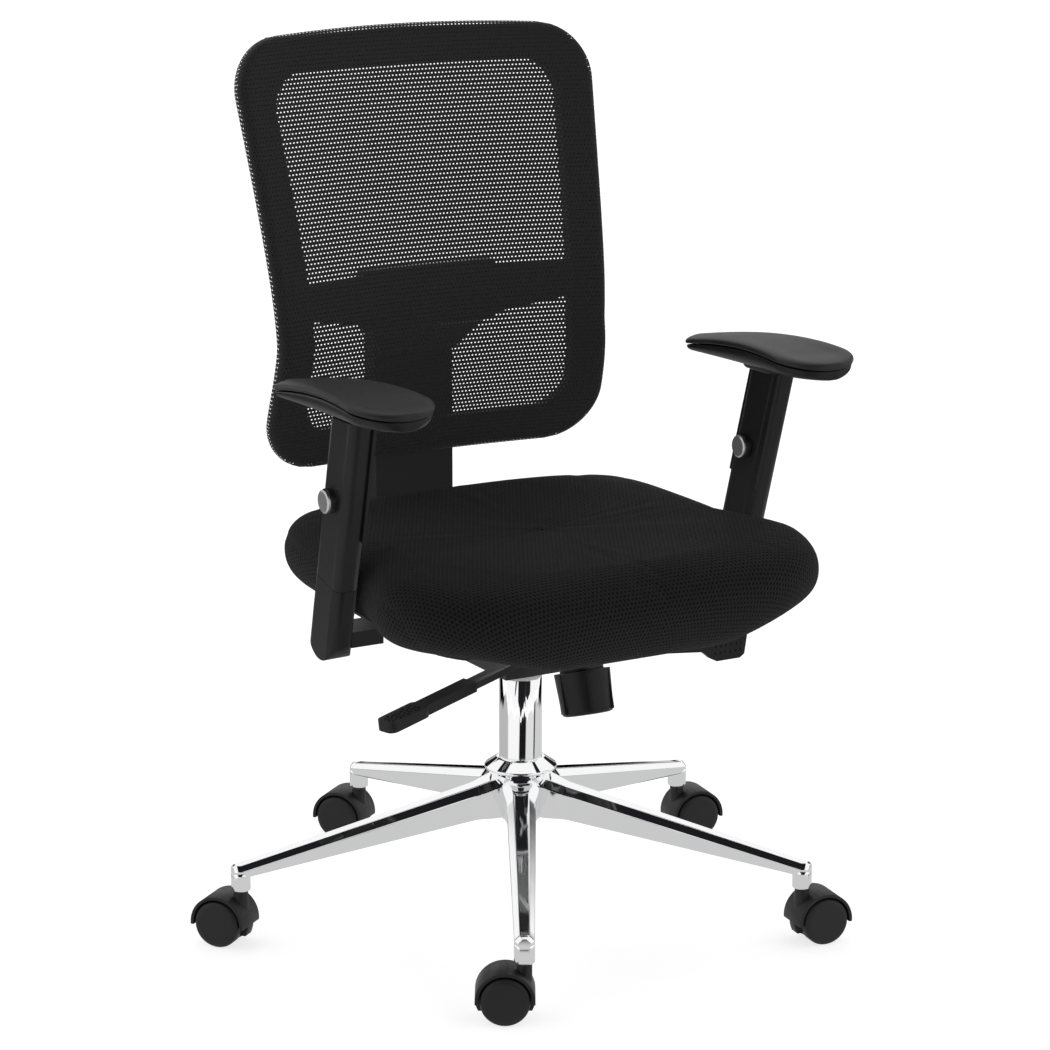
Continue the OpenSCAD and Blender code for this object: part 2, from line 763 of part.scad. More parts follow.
module seat_plate() {
    half = 92;
    ear_w = 26;
    color("#202022") difference() {
        union() {
            translate([-half, -178, plate_z]) cube([2 * half, 330, plate_t]);
            for (s = [-1, 1]) translate([s * (ear_in + ear_t / 2) - ear_t / 2,
                                         -seat_pivot_y - ear_w / 2, seat_pivot_z - 8])
                cube([ear_t, ear_w, plate_z - seat_pivot_z + 9]);
        }
        translate([0, -seat_pivot_y, seat_pivot_z]) bar_x(seat_pin_d / 2 + pin_gap, 300);
        for (x = [-1, 1]) for (y = [-150, 120]) translate([x * 76, y, plate_z - eps])
            cylinder(r = 3.3, h = plate_t + 2 * eps, $fn = 32);
    }
}

module bolt_up(p, head_z, len) {
    translate([p[0], p[1], head_z - 4]) cylinder(r = 6, h = 4, $fn = 6);
    translate([p[0], p[1], head_z]) cylinder(r = 3, h = len, $fn = 32);
}

// bolts that hold the plate and the arm bars to the board
function arm_bolts(s) = [for (x = [140, 200]) [s * x, arm_bar_y]];

module seat_bolts() {
    color("#3a3a3c") {
        for (x = [-1, 1]) for (y = [-150, 120]) bolt_up([x * 76, y], plate_z, plate_t);
        for (s = [-1, 1]) for (p = arm_bolts(s)) bolt_up(p, board_z - arm_bar_t, arm_bar_t);
    }
}

// ---------------------------------------------------------------- arms
module at_post(s) {
    translate([s * arm_x, -arm_foot_y, arm_foot_z]) rotate([0, s * arm_splay, 0])
        rotate([arm_lean, 0, 0]) children();
}

module arm_bar(s) {
    color("#202022") difference() {
        union() {
            translate([s > 0 ? arm_bar_in : -arm_x - 4, arm_bar_y - arm_bar_w / 2,
                       board_z - arm_bar_t])
                cube([arm_x + 4 - arm_bar_in, arm_bar_w, arm_bar_t]);
            at_post(s) translate([-arm_bar_t / 2, -leg_w / 2, leg_foot])
                cube([arm_bar_t, leg_w, leg_top - leg_foot]);
        }
        for (p = arm_bolts(s)) translate([p[0], p[1], board_z - arm_bar_t - eps])
            cylinder(r = 3.3, h = arm_bar_t + 2 * eps, $fn = 32);
    }
}

// the lower boot: a post with a round foot, and a slimmer tongue above it
module arm_boot(s) {
    color("#222224") difference() {
        union() {
            at_post(s) intersection() {
                round_bar(post_w, post_d, post_edge_r, boot_len);
                union() {
                    translate([0, 0, post_d / 2]) bar_x(post_d / 2, 2 * post_w);
                    translate([-post_w, -post_d, post_d / 2]) cube([2 * post_w, 2 * post_d, boot_len]);
                }
            }
            at_post(s) translate([0, 0, boot_len - eps])
                round_bar(tongue_w, tongue_d, tongue_edge_r, tongue_top - boot_len + eps);
            translate([s > 0 ? arm_x - 52 : -arm_x + 12, arm_bar_y - arm_bar_w / 2 - 3,
                       board_z - arm_bar_t - 8])
                cube([40, arm_bar_w + 6, arm_bar_t + 12]);
        }
        at_post(s) translate([-arm_bar_t / 2 - face_gap, -leg_w / 2 - face_gap, leg_foot - 4])
            cube([arm_bar_t + 2 * face_gap, leg_w + 2 * face_gap, tongue_top]);
        translate([s > 0 ? arm_x - 60 : -arm_x - 6, arm_bar_y - arm_bar_w / 2 - face_gap,
                   board_z - arm_bar_t - face_gap])
            cube([66, arm_bar_w + 2 * face_gap, arm_bar_t + 2 * face_gap]);
    }
}

module arm_sleeve(s) {
    shell_in = face_gap;
    collar_h = 6;
    collar_t = 1.2;
    up = (sleeve_top_z - arm_foot_z) / cos(arm_lean) + 20;
    color("#222224") difference() {
        at_post(s) difference() {
            union() {
                translate([0, 0, boot_len + 0.5])
                    round_bar(post_w, post_d, post_edge_r, up - boot_len);
                // flat inner cover, standing a little past the post's front edge
                translate([-s * (post_w / 2 - 3) - 2, -post_d / 2 - 2, boot_len + 60])
                    cube([4, post_d, up - boot_len - 60]);
                translate([-post_w / 2 + 2, 4, button_up]) rotate([0, -90, 0])
                    cylinder(r = button_d / 2 + run_gap + collar_t, h = collar_h + 2, $fn = 64);
            }
            translate([0, 0, boot_len - 1])
                round_bar(tongue_w + 2 * shell_in, tongue_d + 2 * shell_in, tongue_edge_r + shell_in,
                          tongue_top - boot_len + 8);
            translate([-post_w / 2 - 0.6, 4, button_up]) rotate([0, -90, 0])
                cylinder(r = button_d / 2 + run_gap, h = collar_h + 4, $fn = 64);
            translate([0, 4, button_up]) rotate([0, -90, 0])
                cylinder(r = 6 + run_gap, h = post_w, $fn = 64);
        }
        translate([s * arm_x - 200, -400, sleeve_top_z]) cube([400, 500, 100]);
    }
}

module arm_button(s) {
    color("silver") at_post(s) translate([0, 4, button_up]) rotate([0, -90, 0]) {
        translate([0, 0, post_w / 2 - 1.4]) cylinder(r = 6, h = 8, $fn = 64);
        translate([0, 0, post_w / 2 + 4.2]) cylinder(r = button_d / 2, h = 5, $fn = 64);
        translate([0, 0, post_w / 2 + 9.2])
            cylinder(r1 = button_d / 2, r2 = button_d / 2 - 1.5, h = 1.2, $fn = 64);
    }
}

pad_x = arm_x + 5;
pad_front_y = -236;
pad_crest = 0.67;    // share of the pad's length, from its rear end, at which it stands highest
pad_seam_fall = 8;   // how far the seam sinks from the crest to the front end
pad_top_fall = 11;   // the same for the edge of the top
pad_shell_in = 2;    // how far the hard shell stands in from the pad's outline
PAD_STEPS = [for (k = [0:14]) k / 14];

// a height that climbs by rise up to the crest, then sinks by fall to the front end
function pad_arch(t, low, rise, fall) =
    t < pad_crest ? low + rise * sin(90 * t / pad_crest)
                  : low + rise - fall * pow((t - pad_crest) / (1 - pad_crest), 2);

function seam_z(t) = pad_arch(t, pad_rear_z - pad_edge_t, pad_climb, pad_seam_fall);
function pad_top_z(t) = pad_arch(t, pad_rear_z, pad_climb + 4, pad_top_fall);
function base_under_z(t) = sleeve_top_z + 1 + pad_base_t * t;

// side view of a slab between two heights that change along the pad
module pad_side(under, over) {
    y = function (t) pad_front_y + pad_len * (1 - t);
    extrude_x(pad_front_w + 2)
        polygon(concat([for (t = PAD_STEPS) [y(t), under(t)]],
                       [for (k = [14:-1:0]) [y(PAD_STEPS[k]), over(PAD_STEPS[k])]]));
}

// plan of the pad, drawn in by inset: two discs and the straight edges that join them
module pad_plan(inset) {
    hull() {
        translate([0, pad_front_y + pad_len - pad_rear_w / 2])
            circle(r = pad_rear_w / 2 - inset, $fn = 40);
        translate([0, pad_front_y + pad_front_w / 2]) circle(r = pad_front_w / 2 - inset, $fn = 48);
    }
}

module arm_pad_base(s) {
    lip_gap = 0.1;
    foot_y = -arm_foot_y - (sleeve_top_z - arm_foot_z) * tan(arm_lean);
    color("#1b1b1d") translate([s * pad_x, 0, 0]) {
        intersection() {
            translate([0, 0, arm_foot_z]) linear_extrude(height = 400) pad_plan(pad_shell_in);
            pad_side(function (t) base_under_z(t), function (t) seam_z(t) - lip_gap);
        }
        translate([0, foot_y + 8, sleeve_top_z + lip_gap]) cylinder(r = 26, h = pad_base_t, $fn = 64);
    }
}

module arm_pad(s) {
    color("#1e1e20") translate([s * pad_x, 0, 0]) intersection() {
        translate([0, 0, arm_foot_z]) linear_extrude(height = 400) pad_plan(0);
        pad_side(function (t) seam_z(t), function (t) pad_top_z(t));
    }
}

// ---------------------------------------------------------------- back
// a smooth bend: flat near 0, then rising with the given slope
function bend(d, slope, soft) = slope * (sqrt(d * d + soft * soft) - soft);

// distance of the mesh's front face behind the column, over the back
function back_y(x, z) =
    lumbar_y + back_dish * (1 - pow(2 * x / back_top_w, 2))
    + (z > lumbar_z ? bend(z - lumbar_z, 0.30, 80) : bend(z - lumbar_z, 0.40, 60));

// half-width of the back at height z
function back_half_w(z) =
    let (t = (z - lumbar_z) / (back_top_z - lumbar_z), u = (lumbar_z - z) / (lumbar_z - back_low_z))
    z > lumbar_z ? waist_w / 2 + (back_top_w - waist_w) / 2 * pow(t, 1.2)
                 : waist_w / 2 + (back_low_w - waist_w) / 2 * sin(90 * min(1, u * 1.4));

// a slab that follows the back's double curve, from depth a to depth b behind its front face
module back_slab(a, b) {
    nx = 12;
    nz = 22;
    half = back_top_w / 2 + 12;
    z0 = back_low_z - 12;
    z1 = back_top_z + 12;
    at = function (i, k) [-half + 2 * half * i / nx, z0 + (z1 - z0) * k / nz];
    pts = concat(
        [for (k = [0:nz]) for (i = [0:nx]) let (p = at(i, k)) [p[0], back_y(p[0], p[1]) + a, p[1]]],
        [for (k = [0:nz]) for (i = [0:nx]) let (p = at(i, k)) [p[0], back_y(p[0], p[1]) + b, p[1]]]);
    w = nx + 1;
    n = w * (nz + 1);
    id = function (i, k, s) s * n + k * w + i;
    cells = [for (k = [0:nz - 1]) for (i = [0:nx - 1]) each [
        [id(i, k, 0), id(i, k + 1, 0), id(i + 1, k + 1, 0)],
        [id(i, k, 0), id(i + 1, k + 1, 0), id(i + 1, k, 0)],
        [id(i, k, 1), id(i + 1, k + 1, 1), id(i, k + 1, 1)],
        [id(i, k, 1), id(i + 1, k, 1), id(i + 1, k + 1, 1)]]];
    low_high = [for (i = [0:nx - 1]) each [
        [id(i, 0, 0), id(i + 1, 0, 0), id(i + 1, 0, 1), id(i, 0, 1)],
        [id(i, nz, 0), id(i, nz, 1), id(i + 1, nz, 1), id(i + 1, nz, 0)]]];
    sides = [for (k = [0:nz - 1]) each [
        [id(0, k, 0), id(0, k, 1), id(0, k + 1, 1), id(0, k + 1, 0)],
        [id(nx, k, 0), id(nx, k + 1, 0), id(nx, k + 1, 1), id(nx, k, 1)]]];
    polyhedron(pts, concat(cells, low_high, sides));
}

// front view of the back, drawn in by inset: straight-ish edges with large round corners
function back_outline(inset) =
    let (r = 62 - inset * 0.5, z0 = back_low_z + inset, z1 = back_top_z - inset, crown = 9,
         side = [for (k = [0:10]) z0 + r + (z1 - z0 - 2 * r) * k / 10])
    concat(
        [for (z = side) [back_half_w(z) - inset, z]],
        [for (a = [10:10:80]) let (h = back_half_w(z1 - r) - inset)
            [h - r + r * cos(a), z1 - crown - r + (r + 2) * sin(a) + crown * a / 150]],
        [[back_half_w(z1) / 3, z1 - crown * 0.2], [0, z1], [-back_half_w(z1) / 3, z1 - crown * 0.2]],
        [for (a = [100:10:170]) let (h = back_half_w(z1 - r) - inset)
            [-h + r + r * cos(a), z1 - crown - r + (r + 2) * sin(a) + crown * (180 - a) / 150]],
        [for (k = [10:-1:0]) [-back_half_w(side[k]) + inset, side[k]]],
        [for (a = [190:10:260]) [-back_half_w(z0 + r) + inset + r + r * cos(a), z0 + r + r * sin(a)]],
        [for (a = [280:10:350]) [back_half_w(z0 + r) - inset - r + r * cos(a), z0 + r + r * sin(a)]]);

module extrude_y(y0, y1) {
    translate([0, y1, 0]) rotate([90, 0, 0]) linear_extrude(height = y1 - y0) children();
}

hub_face_y = 213;
wing_low = lumbar_z + 3;
wing_top = lumbar_z + 76;

module back_frame() {
    block_half = 89;
    ring_half = waist_w / 2 - window_edge + 8;
    color("#1d1d1f") difference() {
        union() {
            intersection() {
                back_slab(mesh_t + soft_gap, mesh_t + soft_gap + frame_t);
                extrude_y(0, 400) difference() {
                    polygon(back_outline(4));
                    polygon(back_outline(window_edge));
                }
            }
            for (s = [-1, 1]) hull() {
                translate([s * ring_half - 5, back_y(ring_half, lumbar_z + 48) + 8, lumbar_z + 30])
                    cube([10, 12, 40]);
                translate([s * block_half - 4, hub_face_y, wing_low + 8]) cube([8, 14, 58]);
            }
            translate([-block_half, hub_face_y, wing_low]) cube([2 * block_half, 16, wing_top - wing_low]);
            hull() {
                translate([-block_half + 8, hub_face_y + 4, wing_low + 4])
                    cube([2 * block_half - 16, 12, 60]);
                translate([-bar_w / 2 + 2, bar_y - 12, lumbar_z - 34]) cube([bar_w - 4, 12 - soft_gap, 96]);
            }
        }
        for (x = [-1, 1]) for (z = [0, 56]) translate([x * 30, bar_y - 14, lumbar_z - 14 + z])
            rotate([-90, 0, 0]) cylinder(r = 3.3, h = 30, $fn = 32);
    }
}

module back_mesh() {
    color("#101012") intersection() {
        back_slab(0, mesh_t);
        extrude_y(0, 400) polygon(back_outline(0));
    }
}

// side outline of the bar: up behind the back, round a bend, and forward under the seat
module back_bar() {
    outer = bar_bend_in + bar_t;
    cy = bar_y - bar_bend_in;
    cz = bar_under_z + outer;
    fork_front = 76;
    color("#232325") difference() {
        union() {
            extrude_x(bar_w) {
                translate([bar_y, cz]) square([bar_t, bar_top_z - cz]);
                translate([fork_front, bar_under_z]) square([cy - fork_front, bar_t]);
                intersection() {
                    difference() {
                        translate([cy, cz]) circle(r = outer, $fn = 96);
                        translate([cy, cz]) circle(r = bar_bend_in, $fn = 64);
                    }
                    translate([cy, cz - outer]) square([outer, outer]);
                }
            }
            for (s = [-1, 1]) translate([s * (ear_in + ear_t / 2), 0, 0]) extrude_x(ear_t) {
                translate([back_pivot_y, back_pivot_z]) circle(r = 14, $fn = 64);
                translate([back_pivot_y, back_pivot_z - 14]) square([fork_front - back_pivot_y + 1, 28]);
            }
        }
        translate([0, back_pivot_y, back_pivot_z]) bar_x(back_pin_d / 2 + pin_gap, 300);
        for (x = [-1, 1]) for (z = [0, 56]) translate([x * 30, bar_y - eps, lumbar_z - 14 + z])
            rotate([-90, 0, 0]) cylinder(r = 3.3, h = 60, $fn = 32);
    }
}

module back_bolts() {
    color("#3a3a3c") for (x = [-1, 1]) for (z = [0, 56])
        translate([x * 30, bar_y - 12, lumbar_z - 14 + z]) rotate([-90, 0, 0]) {
            cylinder(r = 3, h = bar_t + 12, $fn = 32);
            translate([0, 0, bar_t + 12]) cylinder(r = 5.5, h = 4, $fn = 32);
        }
}

star_base();
caster_sockets();
column_tube();
column_bush();
thrust_bearing();
piston_rod();
rod_clip();
gas_cylinder();
release_pin();
tilt_housing();
pivot_pins();
tilt_spring();
spring_plate();
tension_screw();
tension_knob();
height_lever_bar();
height_lever_paddle();
lock_lever_bar();
lock_lever_paddle();
seat_plate();
seat_board();
seat_cushion();
seat_bolts();
back_bar();
back_frame();
back_mesh();
back_bolts();
for (i = [0, 1]) {
    arm_bar(1 - 2 * i);
    arm_boot(1 - 2 * i);
    arm_sleeve(1 - 2 * i);
    arm_button(1 - 2 * i);
    arm_pad_base(1 - 2 * i);
    arm_pad(1 - 2 * i);
}
for (k = CASTERS) {
    caster_hood(k);
    caster_pins(k);
    caster_wheel(k, 1);
    caster_wheel(k, -1);
}
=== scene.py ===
"""Looks of the swivel office chair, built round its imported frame.

Metres, Z up. The chair faces -Y and stands on the floor at z = 0.
"""

import json
import math

import bmesh
import bpy
import numpy as np
from mathutils import Matrix, Vector

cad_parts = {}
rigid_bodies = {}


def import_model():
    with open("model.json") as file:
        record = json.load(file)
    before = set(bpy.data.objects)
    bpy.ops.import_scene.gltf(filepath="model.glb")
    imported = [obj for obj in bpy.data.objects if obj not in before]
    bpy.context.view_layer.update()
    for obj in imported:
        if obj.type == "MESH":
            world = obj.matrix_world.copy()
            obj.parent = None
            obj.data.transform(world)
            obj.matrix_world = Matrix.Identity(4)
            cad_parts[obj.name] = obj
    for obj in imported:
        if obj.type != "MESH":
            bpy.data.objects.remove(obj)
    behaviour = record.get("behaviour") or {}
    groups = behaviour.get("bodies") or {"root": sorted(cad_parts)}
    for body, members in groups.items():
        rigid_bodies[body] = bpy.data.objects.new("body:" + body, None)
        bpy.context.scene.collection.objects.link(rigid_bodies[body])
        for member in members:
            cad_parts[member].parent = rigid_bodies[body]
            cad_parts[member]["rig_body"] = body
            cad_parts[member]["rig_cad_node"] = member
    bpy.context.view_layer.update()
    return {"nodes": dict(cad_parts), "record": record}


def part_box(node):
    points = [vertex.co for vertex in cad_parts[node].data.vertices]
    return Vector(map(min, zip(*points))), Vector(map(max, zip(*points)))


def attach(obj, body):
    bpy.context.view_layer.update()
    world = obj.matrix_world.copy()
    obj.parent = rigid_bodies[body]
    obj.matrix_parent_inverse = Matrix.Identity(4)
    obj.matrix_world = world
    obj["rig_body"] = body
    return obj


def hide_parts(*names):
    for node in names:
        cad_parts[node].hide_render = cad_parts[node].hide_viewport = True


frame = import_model()
MM = 0.001
NODES = frame["nodes"]
SIDES = {"left": 1, "right": -1}
CASTERS = range(1, 6)


# ---------------------------------------------------------------- camera and room
VIEW_TURN = math.radians(-30)  # the camera stands in front and to the chair's right
VIEW_TWIST = math.radians(0.0766)
CAMERA_RISE = math.radians(14.183)
CAMERA_PITCH = math.radians(90 - 13.909)
CAMERA_DISTANCE = 4.001
CAMERA_LENS = 119.17
AIM = Vector((0, 0, 0.45))


def make_camera():
    """A long lens at standing distance, looking a little down on the seat."""
    back = Vector((math.sin(VIEW_TURN) * math.cos(CAMERA_RISE),
                   -math.cos(VIEW_TURN) * math.cos(CAMERA_RISE), math.sin(CAMERA_RISE)))
    data = bpy.data.cameras.new("camera")
    data.sensor_width = 36
    data.lens = CAMERA_LENS
    data.clip_end = 200
    camera = bpy.data.objects.new("camera", data)
    camera.location = AIM + CAMERA_DISTANCE * back
    camera.rotation_euler = (CAMERA_PITCH, 0, VIEW_TURN - VIEW_TWIST)
    bpy.context.scene.collection.objects.link(camera)
    bpy.context.scene.camera = camera


# ---------------------------------------------------------------- finishes
class Value:
    """A shader socket that takes part in arithmetic, one Math node for each operation."""

    def __init__(self, finish, socket):
        self.finish = finish
        self.socket = socket

    def math(self, operation, *values):
        return self.finish.node("ShaderNodeMath", list(values), operation=operation)

    def __add__(self, other):
        return self.math("ADD", self, other)

    __radd__ = __add__

    def __sub__(self, other):
        return self.math("SUBTRACT", self, other)

    def __rsub__(self, other):
        return self.math("SUBTRACT", other, self)

    def __mul__(self, other):
        return self.math("MULTIPLY", self, other)

    __rmul__ = __mul__

    def __truediv__(self, other):
        return self.math("DIVIDE", self, other)

    def __pow__(self, other):
        return self.math("POWER", self, other)

    def __abs__(self):
        return self.math("ABSOLUTE", self)

    def __lt__(self, other):
        return self.math("LESS_THAN", self, other)

    def __gt__(self, other):
        return self.math("GREATER_THAN", self, other)

    def floor(self):
        return self.math("FLOOR", self)

    def fraction(self):
        return self.math("FRACT", self)

    def sine(self):
        return self.math("SINE", self)

    def ramp(self, low, high):
        """0 at low, 1 at high and smooth in between."""
        return self.finish.node("ShaderNodeMapRange", {"Value": self, "From Min": low, "From Max": high},
                                interpolation_type="SMOOTHSTEP")


class Finish:
    """One procedural material: a Principled shader, and the nodes that feed it."""

    def __init__(self, name, **constants):
        self.material = bpy.data.materials.new(name)
        self.material.use_nodes = True
        self.tree = self.material.node_tree
        self.shader = self.tree.nodes["Principled BSDF"]
        for socket, value in constants.items():
            self.feed(socket.replace("_", " "), value)

    def node(self, kind, inputs=(), output=0, **settings):
        """Any node: its settings are set first, then the values or links of its sockets."""
        made = self.tree.nodes.new(kind)
        for name, value in settings.items():
            setattr(made, name, value)
        places = inputs.items() if isinstance(inputs, dict) else enumerate(inputs)
        for place, value in places:
            self.plug(made.inputs[place], value)
        return Value(self, made.outputs[output])

    def plug(self, socket, value):
        if isinstance(value, Value):
            self.tree.links.new(value.socket, socket)
        elif socket.type == "RGBA" and len(value) == 3:
            socket.default_value = (*value, 1)
        else:
            socket.default_value = value

    def feed(self, socket, value):
        self.plug(self.shader.inputs[socket], value)

    def place(self):
        """Where a point lies on its part, in metres."""
        return self.node("ShaderNodeTexCoord", output="Object")

    def attribute(self, name, output="Vector"):
        return self.node("ShaderNodeAttribute", attribute_name=name, output=output)

    def split(self, vector):
        """The X, Y and Z of a vector."""
        parts = self.node("ShaderNodeSeparateXYZ", [vector]).socket.node
        return [Value(self, socket) for socket in parts.outputs]

    def noise(self, scale, detail=2.0, vector=None):
        vector = vector or self.place()
        return self.node("ShaderNodeTexNoise", {"Vector": vector, "Scale": scale, "Detail": detail})

    def mix(self, share, first, second):
        """A colour between two others."""
        return self.node("ShaderNodeMix", {0: share, 6: first, 7: second}, output=2, data_type="RGBA")

    def bump(self, height, distance, strength=1.0):
        """Raises the surface by height times distance, in metres."""
        self.feed("Normal", self.node("ShaderNodeBump", {"Height": height, "Distance": distance,
                                                         "Strength": strength}))


def moulded(name, colour, rough, grain=0.00006, grain_scale=1400, level=0.4, wear=0.06):
    """Moulded plastic: a fine spark-eroded grain, and a sheen that varies where hands have rubbed."""
    finish = Finish(name, Specular_IOR_Level=level)
    rubbed = finish.noise(9, 3).ramp(0.35, 0.7)
    pits = finish.noise(grain_scale, 3)
    worn = tuple(part * 1.5 + 0.004 for part in colour)
    finish.feed("Base Color", finish.mix(rubbed * 0.5 + pits * 0.2, colour, worn))
    finish.feed("Roughness", rough + wear * (rubbed - 0.5) + 0.1 * (pits - 0.5))
    finish.bump(pits, grain)
    return finish.material


def chrome():
    """Polished chrome plate, with the faint haze and ripple of hand polishing."""
    finish = Finish("polished_chrome", Metallic=1.0)
    haze = finish.noise(14, 3)
    finish.feed("Base Color", finish.mix(haze, (0.90, 0.905, 0.915), (0.95, 0.95, 0.955)))
    finish.feed("Roughness", 0.025 + 0.04 * haze)
    finish.bump(finish.noise(22, 1), 0.00012, 0.5)
    return finish.material


def satin_steel(name, colour, rough, streak):
    """Turned or ground steel: fine streaks that run round or along the part."""
    finish = Finish(name, Metallic=1.0)
    across = finish.node("ShaderNodeVectorMath", [finish.place(), streak], operation="MULTIPLY")
    lines = finish.noise(1.0, 4, across)
    dark = tuple(part * 0.8 for part in colour)
    finish.feed("Base Color", finish.mix(lines, dark, colour))
    finish.feed("Roughness", rough + 0.14 * (lines - 0.5))
    finish.bump(lines, 0.00002)
    return finish.material


def powder_coat(name, colour, rough):
    """Powder-coated steel: a soft orange peel over a dark colour."""
    finish = Finish(name, Specular_IOR_Level=0.45)
    peel = finish.noise(420, 2)
    blotch = finish.noise(12, 2)
    finish.feed("Base Color", finish.mix(blotch, colour, tuple(part * 1.6 for part in colour)))
    finish.feed("Roughness", rough + 0.12 * (peel - 0.5))
    finish.bump(peel, 0.0001)
    return finish.material


def plywood():
    """Black-stained plywood: long grain on its faces and thin veneers at its edges."""
    finish = Finish("plywood", Roughness=0.7, Specular_IOR_Level=0.25)
    x, y, z = finish.split(finish.place())
    along = finish.node("ShaderNodeCombineXYZ", [x * 90, y * 6, z * 90])
    grain = finish.noise(1.0, 5, along)
    veneer = (z * (2 * math.pi / (3 * MM))).sine() * 0.5 + 0.5
    stain = finish.mix(grain * 0.7 + veneer * 0.3, (0.006, 0.0058, 0.0055), (0.014, 0.0135, 0.013))
    finish.feed("Base Color", stain)
    finish.bump(grain, 0.00015)
    return finish.material


def lattice(finish, across, down, pitch, row, stretch):
    """Distance, in metres, from the nearest hole of a net whose rows are set half a hole apart.

    The holes are pitch apart along a row and row apart from one row to the next.
    """
    line = (down / row).floor()
    along = ((across / pitch) + line * 0.5).fraction() - 0.5
    over = (down / row).fraction() - 0.5
    return ((along * pitch) ** 2.0 + (over * (row * stretch)) ** 2.0) ** 0.5


def warp_knit():
    """The net of the back: dark threads round rows of small oval holes that show what is behind; the
    raised thread at each hole's rim is painted lighter, a painted highlight.
    """
    pitch = 4.75 * MM
    row = 5.2 * MM
    finish = Finish("back_net", Roughness=0.62, Specular_IOR_Level=0.25)
    across, down, _ = finish.split(finish.attribute("weave"))
    drift = (finish.noise(60, 2) - 0.5) * (0.5 * MM)
    away = lattice(finish, across + drift, down, pitch, row, 1.2)
    hole = away < 1.0 * MM
    past_lit_rim = away.ramp(0.95 * MM, 2.3 * MM)
    ply = (across * (2 * math.pi / (0.8 * MM)) + down * (2 * math.pi / (1.3 * MM))).sine()
    finish.feed("Alpha", 1 - hole)
    # painted highlight: the thread is lighter at each hole's raised rim and darker where it lies low
    # between the holes
    finish.feed("Base Color", finish.mix(past_lit_rim, (0.018, 0.018, 0.019), (0.007, 0.007, 0.0076)))
    finish.bump(1 - past_lit_rim + ply * 0.12, 0.0004)
    return finish.material


def spacer_fabric():
    """The seat's spacer cloth: round dimples in offset rows, and the knitted ribs between them; the
    dimples are painted near black, painted shade in their hollows.
    """
    pitch = 5.3 * MM
    row = 4.7 * MM
    finish = Finish("spacer_fabric", Specular_IOR_Level=0.08, Sheen_Weight=0.03, Sheen_Roughness=0.5)
    side = finish.attribute("seam_reach", "Fac") > 0.0
    coords = finish.node("ShaderNodeMix", {0: side, 4: finish.attribute("weave"),
                                           5: finish.attribute("side_weave")},
                         output=1, data_type="VECTOR")
    across, down, _ = finish.split(coords)
    away = lattice(finish, across, down, pitch, row, 1.0)
    knit = away.ramp(0.7 * MM, 1.9 * MM)
    rib = (across * (2 * math.pi / (0.9 * MM))).sine() * 0.5 + 0.5
    wool = finish.noise(1200, 2)
    tone = finish.noise(7, 2)
    height_and_shade = knit * (0.75 + 0.15 * rib + 0.2 * wool)
    # painted shade: the colour goes near black in the dimples and lighter on the raised knit, as if
    # light fell on the ribs and not into the hollows
    finish.feed("Base Color", finish.mix(height_and_shade, (0.0008, 0.0008, 0.0009), (0.0125, 0.0125, 0.0135)))
    finish.feed("Roughness", 0.72 + 0.2 * tone)
    finish.bump(height_and_shade, 0.0009)
    return finish.material


def soft_skin():
    """Self-skinned foam of the arm pads: a leathery grain with a low satin sheen."""
    finish = Finish("soft_pad", Specular_IOR_Level=0.30)
    cells = finish.node("ShaderNodeTexVoronoi", {"Vector": finish.place(), "Scale": 900.0},
                        output="Distance")
    creases = finish.noise(260, 4)
    tone = finish.noise(16, 2)
    finish.feed("Base Color", finish.mix(tone, (0.007, 0.007, 0.0074), (0.012, 0.012, 0.0126)))
    finish.feed("Roughness", 0.40 + 0.10 * tone + 0.08 * creases)
    finish.bump(cells * 0.5 + creases * 0.5, 0.00012)
    return finish.material


FINISHES = {
    "polished_chrome": chrome(),
    "bright_steel": satin_steel("bright_steel", (0.62, 0.62, 0.63), 0.28, (30, 30, 900)),
    "spring_steel": satin_steel("spring_steel", (0.30, 0.30, 0.32), 0.36, (300, 300, 300)),
    "silver_button": satin_steel("silver_button", (0.56, 0.56, 0.57), 0.34, (40, 700, 700)),
    "black_steel": powder_coat("black_steel", (0.007, 0.007, 0.0076), 0.42),
    "black_bolt": powder_coat("black_bolt", (0.016, 0.016, 0.017), 0.34),
    "bush_plastic": moulded("bush_plastic", (0.42, 0.42, 0.43), 0.45),
    "shell_plastic": moulded("shell_plastic", (0.0065, 0.0065, 0.007), 0.42, level=0.22),
    "caster_plastic": moulded("caster_plastic", (0.009, 0.009, 0.0095), 0.46, level=0.30),
    "spacer_fabric": spacer_fabric(),
    "back_net": warp_knit(),
    "soft_pad": soft_skin(),
    "plywood": plywood(),
}


PLAIN_EDGE = 0.5 * MM
EDGE_WIDTHS = {"back_bar": 1.5 * MM, "tension_knob": 1.2 * MM, "height_lever_paddle": 1.5 * MM,
               "lock_lever_paddle": 1.2 * MM, "tilt_housing": 1 * MM}


def slot_of_nodes():
    """The record's material slot for each CAD node."""
    return {part["node"]: part["material_slot"] for part in frame["record"]["subparts"]}


def paint(piece, slot):
    """Gives a piece its finish, and keeps the seat and its steel out of the chrome's mirror."""
    piece.data.materials.clear()
    piece.data.materials.append(FINISHES[slot])
    piece.visible_glossy = slot not in ("spacer_fabric", "plywood", "black_steel", "black_bolt")


# ---------------------------------------------------------------- mesh helpers
def new_piece(name, points, faces):
    """A smooth-shaded mesh piece, its faces turned outward."""
    mesh = bpy.data.meshes.new(name)
    mesh.from_pydata([tuple(point) for point in points], [], faces)
    work = bmesh.new()
    work.from_mesh(mesh)
    bmesh.ops.recalc_face_normals(work, faces=work.faces)
    work.to_mesh(mesh)
    work.free()
    for polygon in mesh.polygons:
        polygon.use_smooth = True
    piece = bpy.data.objects.new(name, mesh)
    bpy.context.scene.collection.objects.link(piece)
    return piece


